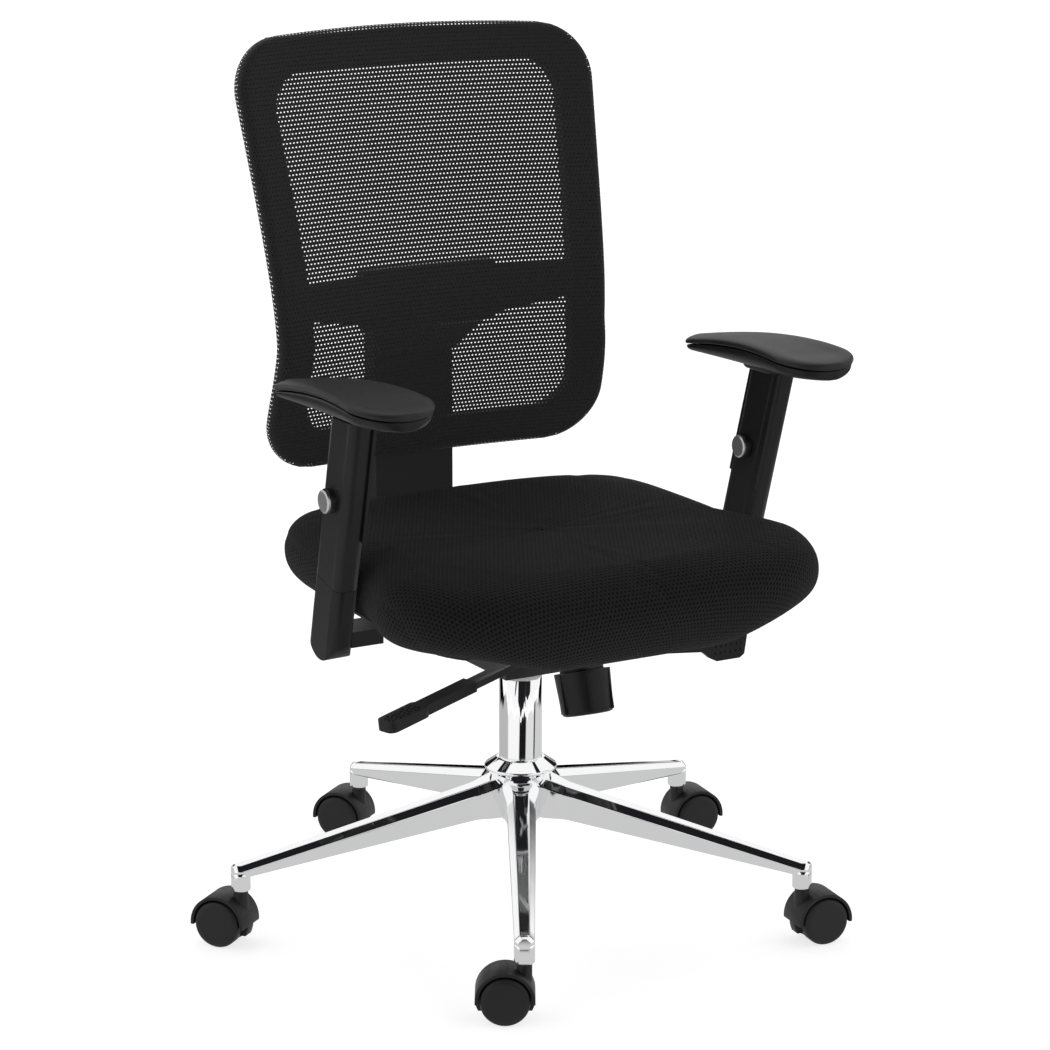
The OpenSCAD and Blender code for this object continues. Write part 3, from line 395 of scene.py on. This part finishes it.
def loft(rings, capped=True):
    """Points and faces of a skin over rings that have the same number of points."""
    count = len(rings[0])
    points = [point for ring in rings for point in ring]
    faces = []
    for level in range(len(rings) - 1):
        for i in range(count):
            j = (i + 1) % count
            a = level * count
            faces.append((a + i, a + j, a + count + j, a + count + i))
    if capped:
        faces.append(tuple(range(count))[::-1])
        faces.append(tuple(range(len(points) - count, len(points))))
    return points, faces


def together(parts):
    """Points and faces of several skins as one."""
    points = []
    faces = []
    for more_points, more_faces in parts:
        shift = len(points)
        points += list(more_points)
        faces += [tuple(i + shift for i in face) for face in more_faces]
    return points, faces


def turned(part, matrix):
    points, faces = part
    return [matrix @ Vector(point) for point in points], faces


def lathe(outline, steps=96):
    """A skin turned about Z from (radius, height) pairs."""
    rings = []
    for radius, height in outline:
        rings.append([(radius * math.cos(a), radius * math.sin(a), height)
                      for a in np.linspace(0, 2 * math.pi, steps, endpoint=False)])
    return loft(rings)


def rounded(corners, steps=4):
    """Points along a convex outline, given as (x, y, radius), with its corners rounded off."""
    points = []
    for i, (x, y, radius) in enumerate(corners):
        here = np.array((x, y), float)
        before = np.array(corners[i - 1][:2]) - here
        after = np.array(corners[(i + 1) % len(corners)][:2]) - here
        before /= np.linalg.norm(before)
        after /= np.linalg.norm(after)
        half = math.acos(np.clip(before @ after, -1, 1)) / 2
        middle = here + (before + after) / np.linalg.norm(before + after) * radius / math.sin(half)
        start = here + before * radius / math.tan(half) - middle
        end = here + after * radius / math.tan(half) - middle
        for k in range(steps + 1):
            share = k / steps
            arm = start * (1 - share) + end * share
            points.append(tuple(middle + arm / np.linalg.norm(arm) * radius))
    return points


def step(x):
    """0 below 0, 1 above 1, smooth in between."""
    x = np.clip(x, 0, 1)
    return x * x * (3 - 2 * x)


def stand_in(piece, body, slot, *nodes):
    """piece takes the place of these CAD nodes and moves with their body."""
    paint(piece, slot)
    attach(piece, body)
    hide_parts(*nodes)
    return piece


def subdivide(piece, levels=1):
    modifier = piece.modifiers.new("smooth", "SUBSURF")
    modifier.levels = levels
    modifier.render_levels = levels
    return piece


def store(piece, name, values):
    """Keeps one number or three for each point, which a finish reads."""
    values = np.array(values, np.float32)
    kind = "FLOAT_VECTOR" if values.ndim == 2 else "FLOAT"
    attribute = piece.data.attributes.new(name, kind, "POINT")
    attribute.data.foreach_set("vector" if values.ndim == 2 else "value", values.ravel())


# ---------------------------------------------------------------- base
STEM_REACH = 339 * MM
TIP_ROUND = 11.5 * MM
TIP_FLAT = 9.75 * MM
FIRST_ARM = -29.3  # degrees from -Y


def base_arm():
    """One arm along -Y, from inside the hub to the rounded end over its caster stem."""
    reach = STEM_REACH
    end = reach + TIP_FLAT
    rings = []
    for r in [*np.linspace(20 * MM, 60 * MM, 9), *np.linspace(70 * MM, reach, 22),
              *np.linspace(reach + 2 * MM, end, 7)]:
        share = np.clip((r - 28 * MM) / (reach - 28 * MM), 0, 1)
        flare = step((62 * MM - r) / (34 * MM))
        width = 36 * MM * (1 - share) + 23 * MM * share + 9 * MM * flare
        if r > reach:
            width = 2 * math.sqrt(TIP_ROUND ** 2 - (r - reach) ** 2)
        low = 128 * MM * (1 - share) + 82 * MM * share - 3 * MM * flare
        high = 170 * MM * (1 - share) + 97 * MM * share + 3 * MM * flare
        high -= 2 * MM * step((r - reach - 5 * MM) / (5 * MM))
        half = width / 2
        chamfer = min(8.5 * MM * (1 - share) + 6 * MM * share, half * 0.62)
        draft = min(3 * MM * (1 - share) + 1.2 * MM * share, half * 0.2)
        corners = [(half - chamfer, high, 2.6 * MM), (half, high - chamfer, 2.6 * MM),
                   (half - draft, low, 2 * MM), (-half + draft, low, 2 * MM),
                   (-half, high - chamfer, 2.6 * MM), (-half + chamfer, high, 2.6 * MM)]
        shrink = min(1, half / (8 * MM))
        corners = [(x, z, radius * shrink) for x, z, radius in corners]
        rings.append([(x, -r, z) for x, z in rounded(corners)])
    return loft(rings)


def socket_post():
    """The upright socket under an arm's end, its front drawn flat like the arm's."""
    rings = []
    for height, inset in [(66, 1.2), (66.4, 0.4), (67.2, 0), (84, 0), (90, 0.6)]:
        ring = []
        for a in np.linspace(0, 2 * math.pi, 48, endpoint=False):
            x = (TIP_ROUND - inset * MM) * math.sin(a)
            y = (TIP_ROUND - inset * MM) * math.cos(a)
            ring.append((x, -STEM_REACH - min(y, TIP_FLAT - inset * MM), height * MM))
        rings.append(ring)
    return loft(rings)


def star_base():
    """Five polished arms that flow out of one hub with a coned collar."""
    hub = lathe([(r * MM, z * MM) for r, z in [
        (20, 127.4), (32, 127.4), (33.6, 128), (34.5, 130), (34.5, 150), (34.5, 166), (35, 170),
        (36.6, 174), (39.5, 177.4), (41.8, 179.4), (42.5, 180.6), (42.3, 182), (41.6, 183),
        (30.2, 190.8), (28.8, 191.9), (27.2, 192.8), (25.2, 193)]])
    parts = [hub]
    for k in CASTERS:
        turn = Matrix.Rotation(math.radians(FIRST_ARM + 72 * (k - 1)), 4, "Z")
        parts += [turned(base_arm(), turn), turned(socket_post(), turn)]
    piece = new_piece("base_star", *together(parts))
    edges = piece.modifiers.new("crisp", "WEIGHTED_NORMAL")
    edges.keep_sharp = True
    stand_in(piece, "base", "polished_chrome", "star_base")


# ---------------------------------------------------------------- back
BACK_LOW, BACK_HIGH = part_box("back_mesh")
BACK_SIZE = BACK_HIGH - BACK_LOW
LUMBAR_Z = 665 * MM


def back_y(x, z):
    """How far the net's face lies behind the column."""
    def bend(away, slope, soft):
        return slope * (np.sqrt(away * away + soft * soft) - soft)

    above = bend(z - LUMBAR_Z, 0.30, 80 * MM)
    below = bend(z - LUMBAR_Z, 0.40, 60 * MM)
    dish = 20 * MM * (1 - (x / (BACK_SIZE.x / 2)) ** 2)
    return 160 * MM + dish + np.where(z > LUMBAR_Z, above, below)


def back_half_width(z):
    """Half the back's width at a height, before its corners are rounded."""
    up = np.clip((z - LUMBAR_Z) / (BACK_HIGH.z - LUMBAR_Z), 0, 1)
    down = np.clip((LUMBAR_Z - z) / (LUMBAR_Z - BACK_LOW.z), 0, 1)
    return 217 * MM + 23 * MM * up ** 1.2 + 7 * MM * np.sin(math.pi / 2 * np.minimum(1, 1.4 * down))


def back_grid(inset, columns, rows):
    """A grid of points, in front view, that fills the back's outline drawn in by inset."""
    low = BACK_LOW.z + inset
    high = BACK_HIGH.z - inset
    corner = 62 * MM - inset / 2
    crown = 9 * MM
    share = (1 - np.cos(np.linspace(0, math.pi, rows))) / 2
    share = 0.35 * np.linspace(0, 1, rows) + 0.65 * share
    height = low + (high - low) * share
    near = np.minimum(height - low, high - height)
    cut = np.where(near < corner, corner - np.sqrt(np.maximum(0, corner ** 2 - (corner - near) ** 2)), 0)
    half = back_half_width(height) - inset - cut
    across = np.linspace(-1, 1, columns)
    x = half[:, None] * across[None, :]
    drop = crown * (np.abs(x) / half.max()) ** 2 * share[:, None] ** 2
    z = height[:, None] - drop
    return x, z


def net_sheet():
    """The stretched net, turned back round the frame's edge and held behind it."""
    turn_radius = 9 * MM
    columns, rows = 61, 81
    depth = 1.6 * MM
    x, z = back_grid(turn_radius, columns, rows)
    y = back_y(x, z) + depth
    run = np.zeros_like(z)
    run[1:] = np.cumsum(np.hypot(np.diff(y, axis=0), np.diff(z, axis=0)), axis=0)
    points = np.stack([x, y, z], -1).reshape(-1, 3)
    weave = np.stack([x, run, np.zeros_like(x)], -1).reshape(-1, 3)
    faces = []
    for i in range(rows - 1):
        for j in range(columns - 1):
            a = i * columns + j
            faces.append((a, a + 1, a + columns + 1, a + columns))
    rim = [*range(columns), *[i * columns + columns - 1 for i in range(1, rows)],
           *[(rows - 1) * columns + j for j in range(columns - 2, -1, -1)],
           *[i * columns for i in range(rows - 2, 0, -1)]]
    edge = points[rim]
    along = np.roll(edge, -1, 0) - np.roll(edge, 1, 0)
    out = np.stack([along[:, 2], np.zeros(len(rim)), -along[:, 0]], -1)
    out /= np.linalg.norm(out, axis=1)[:, None]
    back = np.array([0, 1, 0])
    path = [(turn_radius * math.sin(a), turn_radius * (1 - math.cos(a)))
            for a in np.radians([15, 30, 45, 60, 75, 90])]
    path += [(turn_radius, turn_radius + 6 * MM), (turn_radius - 1 * MM, turn_radius + 11 * MM)]
    before = list(rim)
    travelled = 0
    last = (0, 0)
    for reach, sink in path:
        travelled += math.hypot(reach - last[0], sink - last[1])
        last = (reach, sink)
        start = len(points)
        points = np.vstack([points, edge + out * reach + back * sink])
        weave = np.vstack([weave, weave[rim] + out[:, [0, 2, 1]] * travelled])
        count = len(rim)
        now = list(range(start, start + count))
        faces += [(before[i], before[(i + 1) % count], now[(i + 1) % count], now[i])
                  for i in range(count)]
        before = now
    piece = new_piece("back_net_cover", points, faces)
    store(piece, "weave", weave)
    stand_in(piece, "back", "back_net", "back_mesh")


def soften(name, node, voxel, rounds):
    """A copy of a CAD node with every edge rounded off, as a moulding has."""
    piece = NODES[node].copy()
    piece.data = NODES[node].data.copy()
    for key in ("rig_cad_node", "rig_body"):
        del piece[key]
    piece.name = name
    piece.data.name = name
    piece.parent = None
    piece.hide_render = False
    piece.hide_viewport = False
    bpy.context.scene.collection.objects.link(piece)
    weld = piece.modifiers.new("weld", "WELD")
    weld.merge_threshold = 0.01 * MM
    remesh = piece.modifiers.new("voxels", "REMESH")
    remesh.mode = "VOXEL"
    remesh.voxel_size = voxel
    remesh.use_smooth_shade = True
    even = piece.modifiers.new("even", "SMOOTH")
    even.factor = 0.5
    even.iterations = rounds
    bake_modifiers(piece)
    piece.data.materials.clear()
    return piece


def bake_modifiers(piece):
    """Makes what the modifiers do the piece's own mesh."""
    bpy.context.view_layer.update()
    graph = bpy.context.evaluated_depsgraph_get()
    mesh = bpy.data.meshes.new_from_object(piece.evaluated_get(graph))
    mesh.name = piece.name
    piece.modifiers.clear()
    piece.data = mesh


def back_frame():
    """The moulded frame behind the net, a copy of the CAD frame with its edges rounded off."""
    frame_piece = soften("back_frame_moulding", "back_frame", 2.5 * MM, 6)
    stand_in(frame_piece, "back", "shell_plastic", "back_frame")


# ---------------------------------------------------------------- seat
SEAT_LOW, SEAT_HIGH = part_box("seat_cushion")
SEAT_DEPTH = SEAT_HIGH.y - SEAT_LOW.y
BOARD_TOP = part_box("seat_board")[1].z


FRONT_DROP = 25 * MM
SEAT_WAIST = 248 * MM  # half the seat's width between the arms
SEAT_FLARE = 30 * MM  # what each side gains ahead of the arms
SEAT_SQUARENESS = 4.4


def seat_edge(angle, inset):
    """A point of the seat's plan outline, drawn in by inset, at an angle from +X."""
    power = 2 / SEAT_SQUARENESS
    c = math.copysign(abs(math.cos(angle)) ** power, math.cos(angle))
    s = math.copysign(abs(math.sin(angle)) ** power, math.sin(angle))
    y = (SEAT_LOW.y + SEAT_HIGH.y) / 2 + (SEAT_DEPTH / 2 - inset) * s
    flare = SEAT_FLARE * step((-62 * MM - y) / (125 * MM))
    return (SEAT_WAIST + flare - inset) * c, y


def seat_skin():
    """The cushion's points and faces, and for each point its place on the cloth panels.

    Rings run round the cushion: from the middle of its underside out to the rim, up the side,
    and in over the top to the middle.
    """
    around = 240
    fine = np.linspace(0, 2 * math.pi, 4001)
    trace = np.array([seat_edge(a, 0) for a in fine])
    travel = np.concatenate([[0], np.cumsum(np.linalg.norm(np.diff(trace, axis=0), axis=1))])
    perimeter = np.linspace(0, travel[-1], around, endpoint=False)
    angles = np.interp(perimeter, travel, fine)
    outline = np.array([seat_edge(a, 0) for a in angles])
    centre = np.array([0, (SEAT_LOW.y + SEAT_HIGH.y) / 2])
    low_z = BOARD_TOP + 0.4 * MM
    mid_z = 438 * MM
    top_z = SEAT_HIGH.z - 4 * MM
    roll = 36 * MM
    shrink = 0.5 * MM

    ahead = np.clip((-205 * MM - outline[:, 1]) / (60 * MM), 0, 1)
    front = step(ahead) * step((250 * MM - np.abs(outline[:, 0])) / (150 * MM))
    drop = FRONT_DROP * front
    rings = []
    turns = np.linspace(-math.pi / 2, math.pi / 2, 27)
    for t in turns:
        reach = abs(math.cos(t)) ** 0.92
        rise = math.copysign(abs(math.sin(t)) ** 0.92, t)
        inset = roll * (1 - reach) + shrink
        ring = np.array([(*seat_edge(a, inset), 0) for a in angles])
        lift = top_z - mid_z if rise > 0 else mid_z - low_z + drop
        ring[:, 2] = mid_z + rise * lift
        rings.append(ring)
    sides = len(rings)

    def inner(ring, share):
        moved = ring.copy()
        moved[:, :2] = centre + (ring[:, :2] - centre) * share
        return moved

    under = []
    for share in np.linspace(0.04, 1, 14)[:-1]:
        ring = inner(rings[0], share)
        depth_in = (1 - share) * np.linalg.norm(rings[0][:, :2] - centre, axis=1)
        ring[:, 2] = low_z - drop * (1 - step((depth_in - 30 * MM) / (30 * MM)))
        under.append(ring)
    over = [inner(rings[-1], share) for share in np.linspace(1, 0.02, 40)[1:]]
    rings = under + rings + over
    points, faces = loft([[tuple(point) for point in ring] for ring in rings])
    points = np.array(points)

    # the top is dished where one sits, and rolls down towards the front edge
    x, y = points[:, 0], points[:, 1]
    on_top = step((points[:, 2] - mid_z) / (top_z - mid_z))
    sit = np.exp(-((x / (150 * MM)) ** 2 + ((y + 20 * MM) / (150 * MM)) ** 2))
    nose = step((-170 * MM - y) / (120 * MM))
    rear = step((y - 120 * MM) / (80 * MM))
    points[:, 2] += on_top * (-7 * MM * sit - 5 * MM * nose - 3 * MM * rear)

    # cloth coordinates: the top panel is laid from the middle forward and back, the side panel
    # is wound round the perimeter
    grid = points.reshape(len(rings), around, 3)
    down = np.concatenate([np.zeros((1, around)),
                           np.cumsum(np.linalg.norm(np.diff(grid, axis=0), axis=2), axis=0)])
    past = np.maximum(0, down[len(under) + sides - 1] - down)
    rim = grid[len(under) + sides - 1]
    out = rim[:, :2] - centre
    out /= np.linalg.norm(out, axis=1)[:, None]
    weave = np.zeros_like(grid)
    weave[:, :, :2] = grid[:, :, :2]
    level = np.arange(len(rings))
    fallen = (level < len(under) + sides - 1)[:, None] * past
    weave[:, :, :2] = np.where(fallen[:, :, None] > 0, rim[None, :, :2] + out * fallen[:, :, None],
                               grid[:, :, :2])
    side = np.zeros_like(grid)
    side[:, :, 0] = perimeter[None, :]
    side[:, :, 1] = down

    # the seam runs round the sides a little over half way up and dives under at the front corners
    dive_run = 95 * MM
    dive_depth = 90 * MM
    dive = step((-175 * MM - outline[:, 1]) / dive_run)
    seam_z = 452 * MM - dive_depth * dive ** 1.5
    slant = np.sqrt(1 + (dive_depth / dive_run * dive) ** 2)
    reach = (seam_z[None, :] - grid[:, :, 2]) / slant[None, :]
    reach = np.where(level[:, None] >= len(under) + sides - 6, -40 * MM, reach)
    return points, faces, weave.reshape(-1, 3), side.reshape(-1, 3), reach.reshape(-1)


def puff(piece, held, pressure, cap):
    """Swells a cushion with cloth under air pressure, no point moving further than cap.

    held is each point's pin weight, from 0, free, to 1, fast.
    """
    rest = np.array([vertex.co for vertex in piece.data.vertices])
    group = piece.vertex_groups.new(name="held")
    for index, weight in enumerate(held):
        group.add([index], float(weight), "REPLACE")
    modifier = piece.modifiers.new("swell", "CLOTH")
    cloth = modifier.settings
    cloth.quality = 5
    cloth.mass = 0.3
    cloth.tension_stiffness = 12
    cloth.compression_stiffness = 12
    cloth.shear_stiffness = 6
    cloth.bending_stiffness = 3
    cloth.use_pressure = True
    cloth.uniform_pressure_force = pressure
    cloth.vertex_group_mass = "held"
    cloth.effector_weights.gravity = 0
    modifier.collision_settings.use_collision = False
    scene = bpy.context.scene
    for moment in range(1, 21):
        scene.frame_set(moment)
    graph = bpy.context.evaluated_depsgraph_get()
    swollen = np.array([vertex.co for vertex in piece.evaluated_get(graph).data.vertices])
    piece.modifiers.remove(modifier)
    piece.vertex_groups.clear()
    scene.frame_set(1)
    move = swollen - rest
    far = np.linalg.norm(move, axis=1)
    move *= (np.minimum(far, cap) / np.maximum(far, 1e-9))[:, None]
    piece.data.vertices.foreach_set("co", (rest + move).astype(np.float32).ravel())
    piece.data.update()


def seat_cushion():
    """Moulded foam under spacer cloth: a dished top that rolls over the front, and side panels."""
    points, faces, weave, side, reach = seat_skin()
    piece = new_piece("seat_cushion_cover", points, faces)
    store(piece, "weave", weave)
    store(piece, "side_weave", side)
    store(piece, "seam_reach", reach)
    flat_under = points[:, 2] < BOARD_TOP + 3 * MM
    sewn = np.exp(-(reach / (6 * MM)) ** 2) * 0.7
    puff(piece, np.maximum(flat_under, sewn), 3.0, 5 * MM)
    groove = 1.8 * MM * np.exp(-(reach / (3.5 * MM)) ** 2)
    normals = np.array([vertex.normal for vertex in piece.data.vertices])
    placed = np.array([vertex.co for vertex in piece.data.vertices]) - normals * groove[:, None]
    placed[:, 2] = np.where(points[:, 2] < BOARD_TOP + 3 * MM, points[:, 2], placed[:, 2])
    piece.data.vertices.foreach_set("co", placed.astype(np.float32).ravel())
    subdivide(piece)
    stand_in(piece, "seat", "spacer_fabric", "seat_cushion")


# ---------------------------------------------------------------- arms
PAD_TAPER = 0.68  # the rear end's radius as a share of the front end's


def pad_arch(share, low, rise, fall):
    """A height that climbs to the pad's crest, then sinks to its front end."""
    crest = 0.67
    climb = np.sin(math.pi / 2 * np.minimum(1, share / crest))
    sink = np.maximum(0, (share - crest) / (1 - crest)) ** 2
    return low + rise * climb - fall * sink


def pad_half_width(y, rear, front, rear_round, front_round):
    """Half the pad's width: two round ends and the straight edges between them."""
    share = np.clip((rear - rear_round - y) / (rear - front - rear_round - front_round), 0, 1)
    half = rear_round + (front_round - rear_round) * share
    from_rear = np.maximum(0, y - (rear - rear_round))
    from_front = np.maximum(0, (front + front_round) - y)
    half = np.where(from_rear > 0, np.sqrt(np.maximum(0, rear_round ** 2 - from_rear ** 2)), half)
    return np.where(from_front > 0, np.sqrt(np.maximum(0, front_round ** 2 - from_front ** 2)), half)


def pad_stations(low, high):
    """Places along the pad, close together at its round ends, as shares from rear to front."""
    turns = np.linspace(0, math.pi, 56)
    share = (1 - np.cos(turns)) / 2
    share = np.clip(share, 0.0006, 0.9994)
    return share, high.y + (low.y - high.y) * share


def pad_plan(node):
    """The pad's middle line, and the share, place and half width of each of its stations."""
    low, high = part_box(node)
    front_round = (high.x - low.x) / 2
    share, y = pad_stations(low, high)
    half = pad_half_width(y, high.y, low.y, front_round * PAD_TAPER, front_round)
    return (low.x + high.x) / 2, share, y, half


def arm_pad(side):
    """A soft pad, crowned at the rear and dished inside a rim at its broad front."""
    node = f"arm_pad_{side}"
    middle, share, y, half = pad_plan(node)
    seam = pad_arch(share, 651.3 * MM, 21 * MM, 8 * MM)
    shoulder = pad_arch(share, 658 * MM, 23.5 * MM, 10 * MM)
    rings = []
    for station in range(len(y)):
        w = half[station]
        under = seam[station]
        top = shoulder[station]
        thick = top - under
        crown = 2.5 * MM * (1 - share[station]) + 0.5 * MM
        dish = 4.5 * MM * step((share[station] - 0.35) / 0.35) * step((1.0 - share[station]) / 0.18)
        soft = min(1, w / (12 * MM))
        ring = []
        for a in np.linspace(0, math.pi, 33):
            c = math.cos(a)
            s = math.sin(a)
            x = w * math.copysign(abs(c) ** 0.42, c)
            over = s ** 0.55
            inside = 1 - abs(x / w) if w > 0 else 0
            z = under + 1.2 * MM + (thick - 1.2 * MM) * over * soft
            z += (crown * math.sin(math.pi / 2 * inside) - dish * step(inside / 0.75)) * soft
            ring.append((middle + x, y[station], z))
        for x_share in (-0.97, -0.9, -0.6, 0, 0.6, 0.9, 0.97):
            ring.append((middle + w * x_share * 0.97, y[station], under + 0.2 * MM))
        rings.append(ring)
    piece = new_piece(f"arm_pad_{side}_cover", *loft(rings))
    subdivide(piece)
    stand_in(piece, f"armrest_{side}", "soft_pad", node)


def arm_pad_shell(side):
    """The hard shell under the pad: an even lip, a rounded belly and a collar over the sleeve."""
    node = f"arm_pad_base_{side}"
    middle, share, y, half = pad_plan(node)
    seam = pad_arch(share, 651 * MM, 21 * MM, 8 * MM) - 0.8 * MM
    belly = 644.6 * MM + 8 * MM * share
    rings = []
    for station in range(len(y)):
        w = half[station]
        top = seam[station]
        soft = min(1, w / (10 * MM))
        ring = []
        for a in np.linspace(0, math.pi, 25):
            c = math.cos(a)
            x = w * math.copysign(abs(c) ** 0.55, c)
            z = top - (top - belly[station]) * math.sin(a) ** 0.8 * soft
            ring.append((middle + x, y[station], z))
        for x_share in (-0.93, -0.5, 0, 0.5, 0.93):
            ring.append((middle + w * x_share, y[station], top))
        rings.append(ring)
    parts = [loft(rings)]
    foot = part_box(node)[0].z
    collar = rounded([(17, 32, 13), (-17, 32, 13), (-17, -32, 13), (17, -32, 13)], 6)
    lift = Matrix.Translation((middle - 0.004 * SIDES[side], -0.111, foot))
    stack = [[(x * k * MM, y * k * MM, z * MM) for x, y in collar]
             for k, z in ((1.0, 0), (1.04, 1.5), (1.12, 5), (1.3, 12))]
    parts.append(turned(loft(stack), lift))
    piece = new_piece(f"arm_pad_{side}_shell", *together(parts))
    subdivide(piece)
    stand_in(piece, f"armrest_{side}", "shell_plastic", node)


# ---------------------------------------------------------------- stage
class Room(Finish):
    """The world's background, fed the way a finish is."""

    def __init__(self, world):
        self.tree = world.node_tree
        self.shader = self.tree.nodes["Background"]


def across_view(x, y):
    """How far a direction or a place lies towards the camera, and to the camera's right."""
    return (x * math.sin(VIEW_TURN) - y * math.cos(VIEW_TURN),
            x * math.cos(VIEW_TURN) + y * math.sin(VIEW_TURN))


def table_top(name, size, height):
    """A flat square of the stage, centred under the chair."""
    mesh = bpy.data.meshes.new(name)
    mesh.from_pydata([(-size, -size, height), (size, -size, height),
                      (size, size, height), (-size, size, height)], [], [(0, 1, 2, 3)])
    made = bpy.data.objects.new(name, mesh)
    bpy.context.scene.collection.objects.link(made)
    return made


def mirror_card():
    """Light and dark panels round the chair that only polished surfaces see.

    Each panel is a wedge, set by its angle from the camera's side: grey, white, black in
    front, light, one thin dark line, and grey.
    """
    card = table_top("mirror_card", 4.5, 1 * MM)
    for kind in ("camera", "diffuse", "shadow", "transmission", "volume_scatter"):
        setattr(card, f"visible_{kind}", False)
    finish = Finish("mirror_card", Base_Color=(0, 0, 0), Roughness=1.0, Specular_IOR_Level=0.0,
                    Emission_Strength=1.0)
    x, y, _ = finish.split(finish.place())
    ahead, aside = across_view(x, y)
    turn = aside.math("ARCTAN2", aside, ahead) * (180 / math.pi)
    out = (ahead ** 2.0 + aside ** 2.0) ** 0.5
    panels = (0.50 + 0.50 * turn.ramp(-74, -66) - 0.99 * turn.ramp(-12, -6) + 0.76 * turn.ramp(24, 28)
              - 0.74 * turn.ramp(70, 72) + 0.62 * turn.ramp(78, 80))
    away = out.ramp(0.57, 0.63)
    level = 0.62 * (1 - away) + panels * away
    far_behind = out.ramp(1.5, 1.7) * (0 - ahead).ramp(0.6, 0.9)
    grey = level * (1 - far_behind)
    finish.feed("Emission Color", finish.node("ShaderNodeCombineColor", [grey, grey, grey]))
    card.data.materials.append(finish.material)


def floor_and_light():
    """A pale floor without an edge, and a white room.

    The room is dark in one panel behind the camera, and beyond the chair in a band at the
    horizon and two flags above it.
    """
    scene = bpy.context.scene
    scene.view_settings.view_transform = "Standard"
    floor = table_top("floor", 60, 0)
    mirror_card()
    finish = Finish("floor", Base_Color=(0.5, 0.5, 0.5), Roughness=0.9, Specular_IOR_Level=0.0,
                    Emission_Color=(1, 1, 1), Emission_Strength=0.74)
    floor.data.materials.append(finish.material)

    world = bpy.data.worlds.new("studio")
    scene.world = world
    world.use_nodes = True
    room = Room(world)
    x, y, z = room.split(room.node("ShaderNodeTexCoord", output="Generated"))
    ahead, aside = across_view(x, y)
    front_panel = (1 - abs(aside).ramp(0.33, 0.40)) * ahead.ramp(0.04, 0.12)
    horizon = (1 - abs(z).ramp(0.05, 0.08)) * (0 - ahead).ramp(0.55, 0.65)
    rear_flags = (abs(aside).ramp(0.28, 0.32) * (1 - abs(aside).ramp(0.52, 0.56))
                  * (0 - ahead).ramp(0.72, 0.76) * z.ramp(0.05, 0.09) * (1 - z.ramp(0.38, 0.42)))
    dark = front_panel + horizon + rear_flags
    room.feed("Color", room.mix(dark, (1, 1, 1), (0.012, 0.012, 0.014)))
    room.feed("Strength", 1.0)


def ease_edges(piece, width):
    """Rounds a machined or moulded part's edges a little, so that they catch the light."""
    weld = piece.modifiers.new("weld", "WELD")
    weld.merge_threshold = 0.002 * MM
    bevel = piece.modifiers.new("eased", "BEVEL")
    bevel.width = width
    bevel.segments = 2
    bevel.limit_method = "ANGLE"
    bevel.angle_limit = math.radians(32)
    bevel.harden_normals = True


make_camera()
floor_and_light()
star_base()
net_sheet()
back_frame()
seat_cushion()
for side in SIDES:
    arm_pad(side)
    arm_pad_shell(side)

for name, slot in slot_of_nodes().items():
    if not NODES[name].hide_render:
        paint(NODES[name], slot)
        ease_edges(NODES[name], EDGE_WIDTHS.get(name, PLAIN_EDGE))
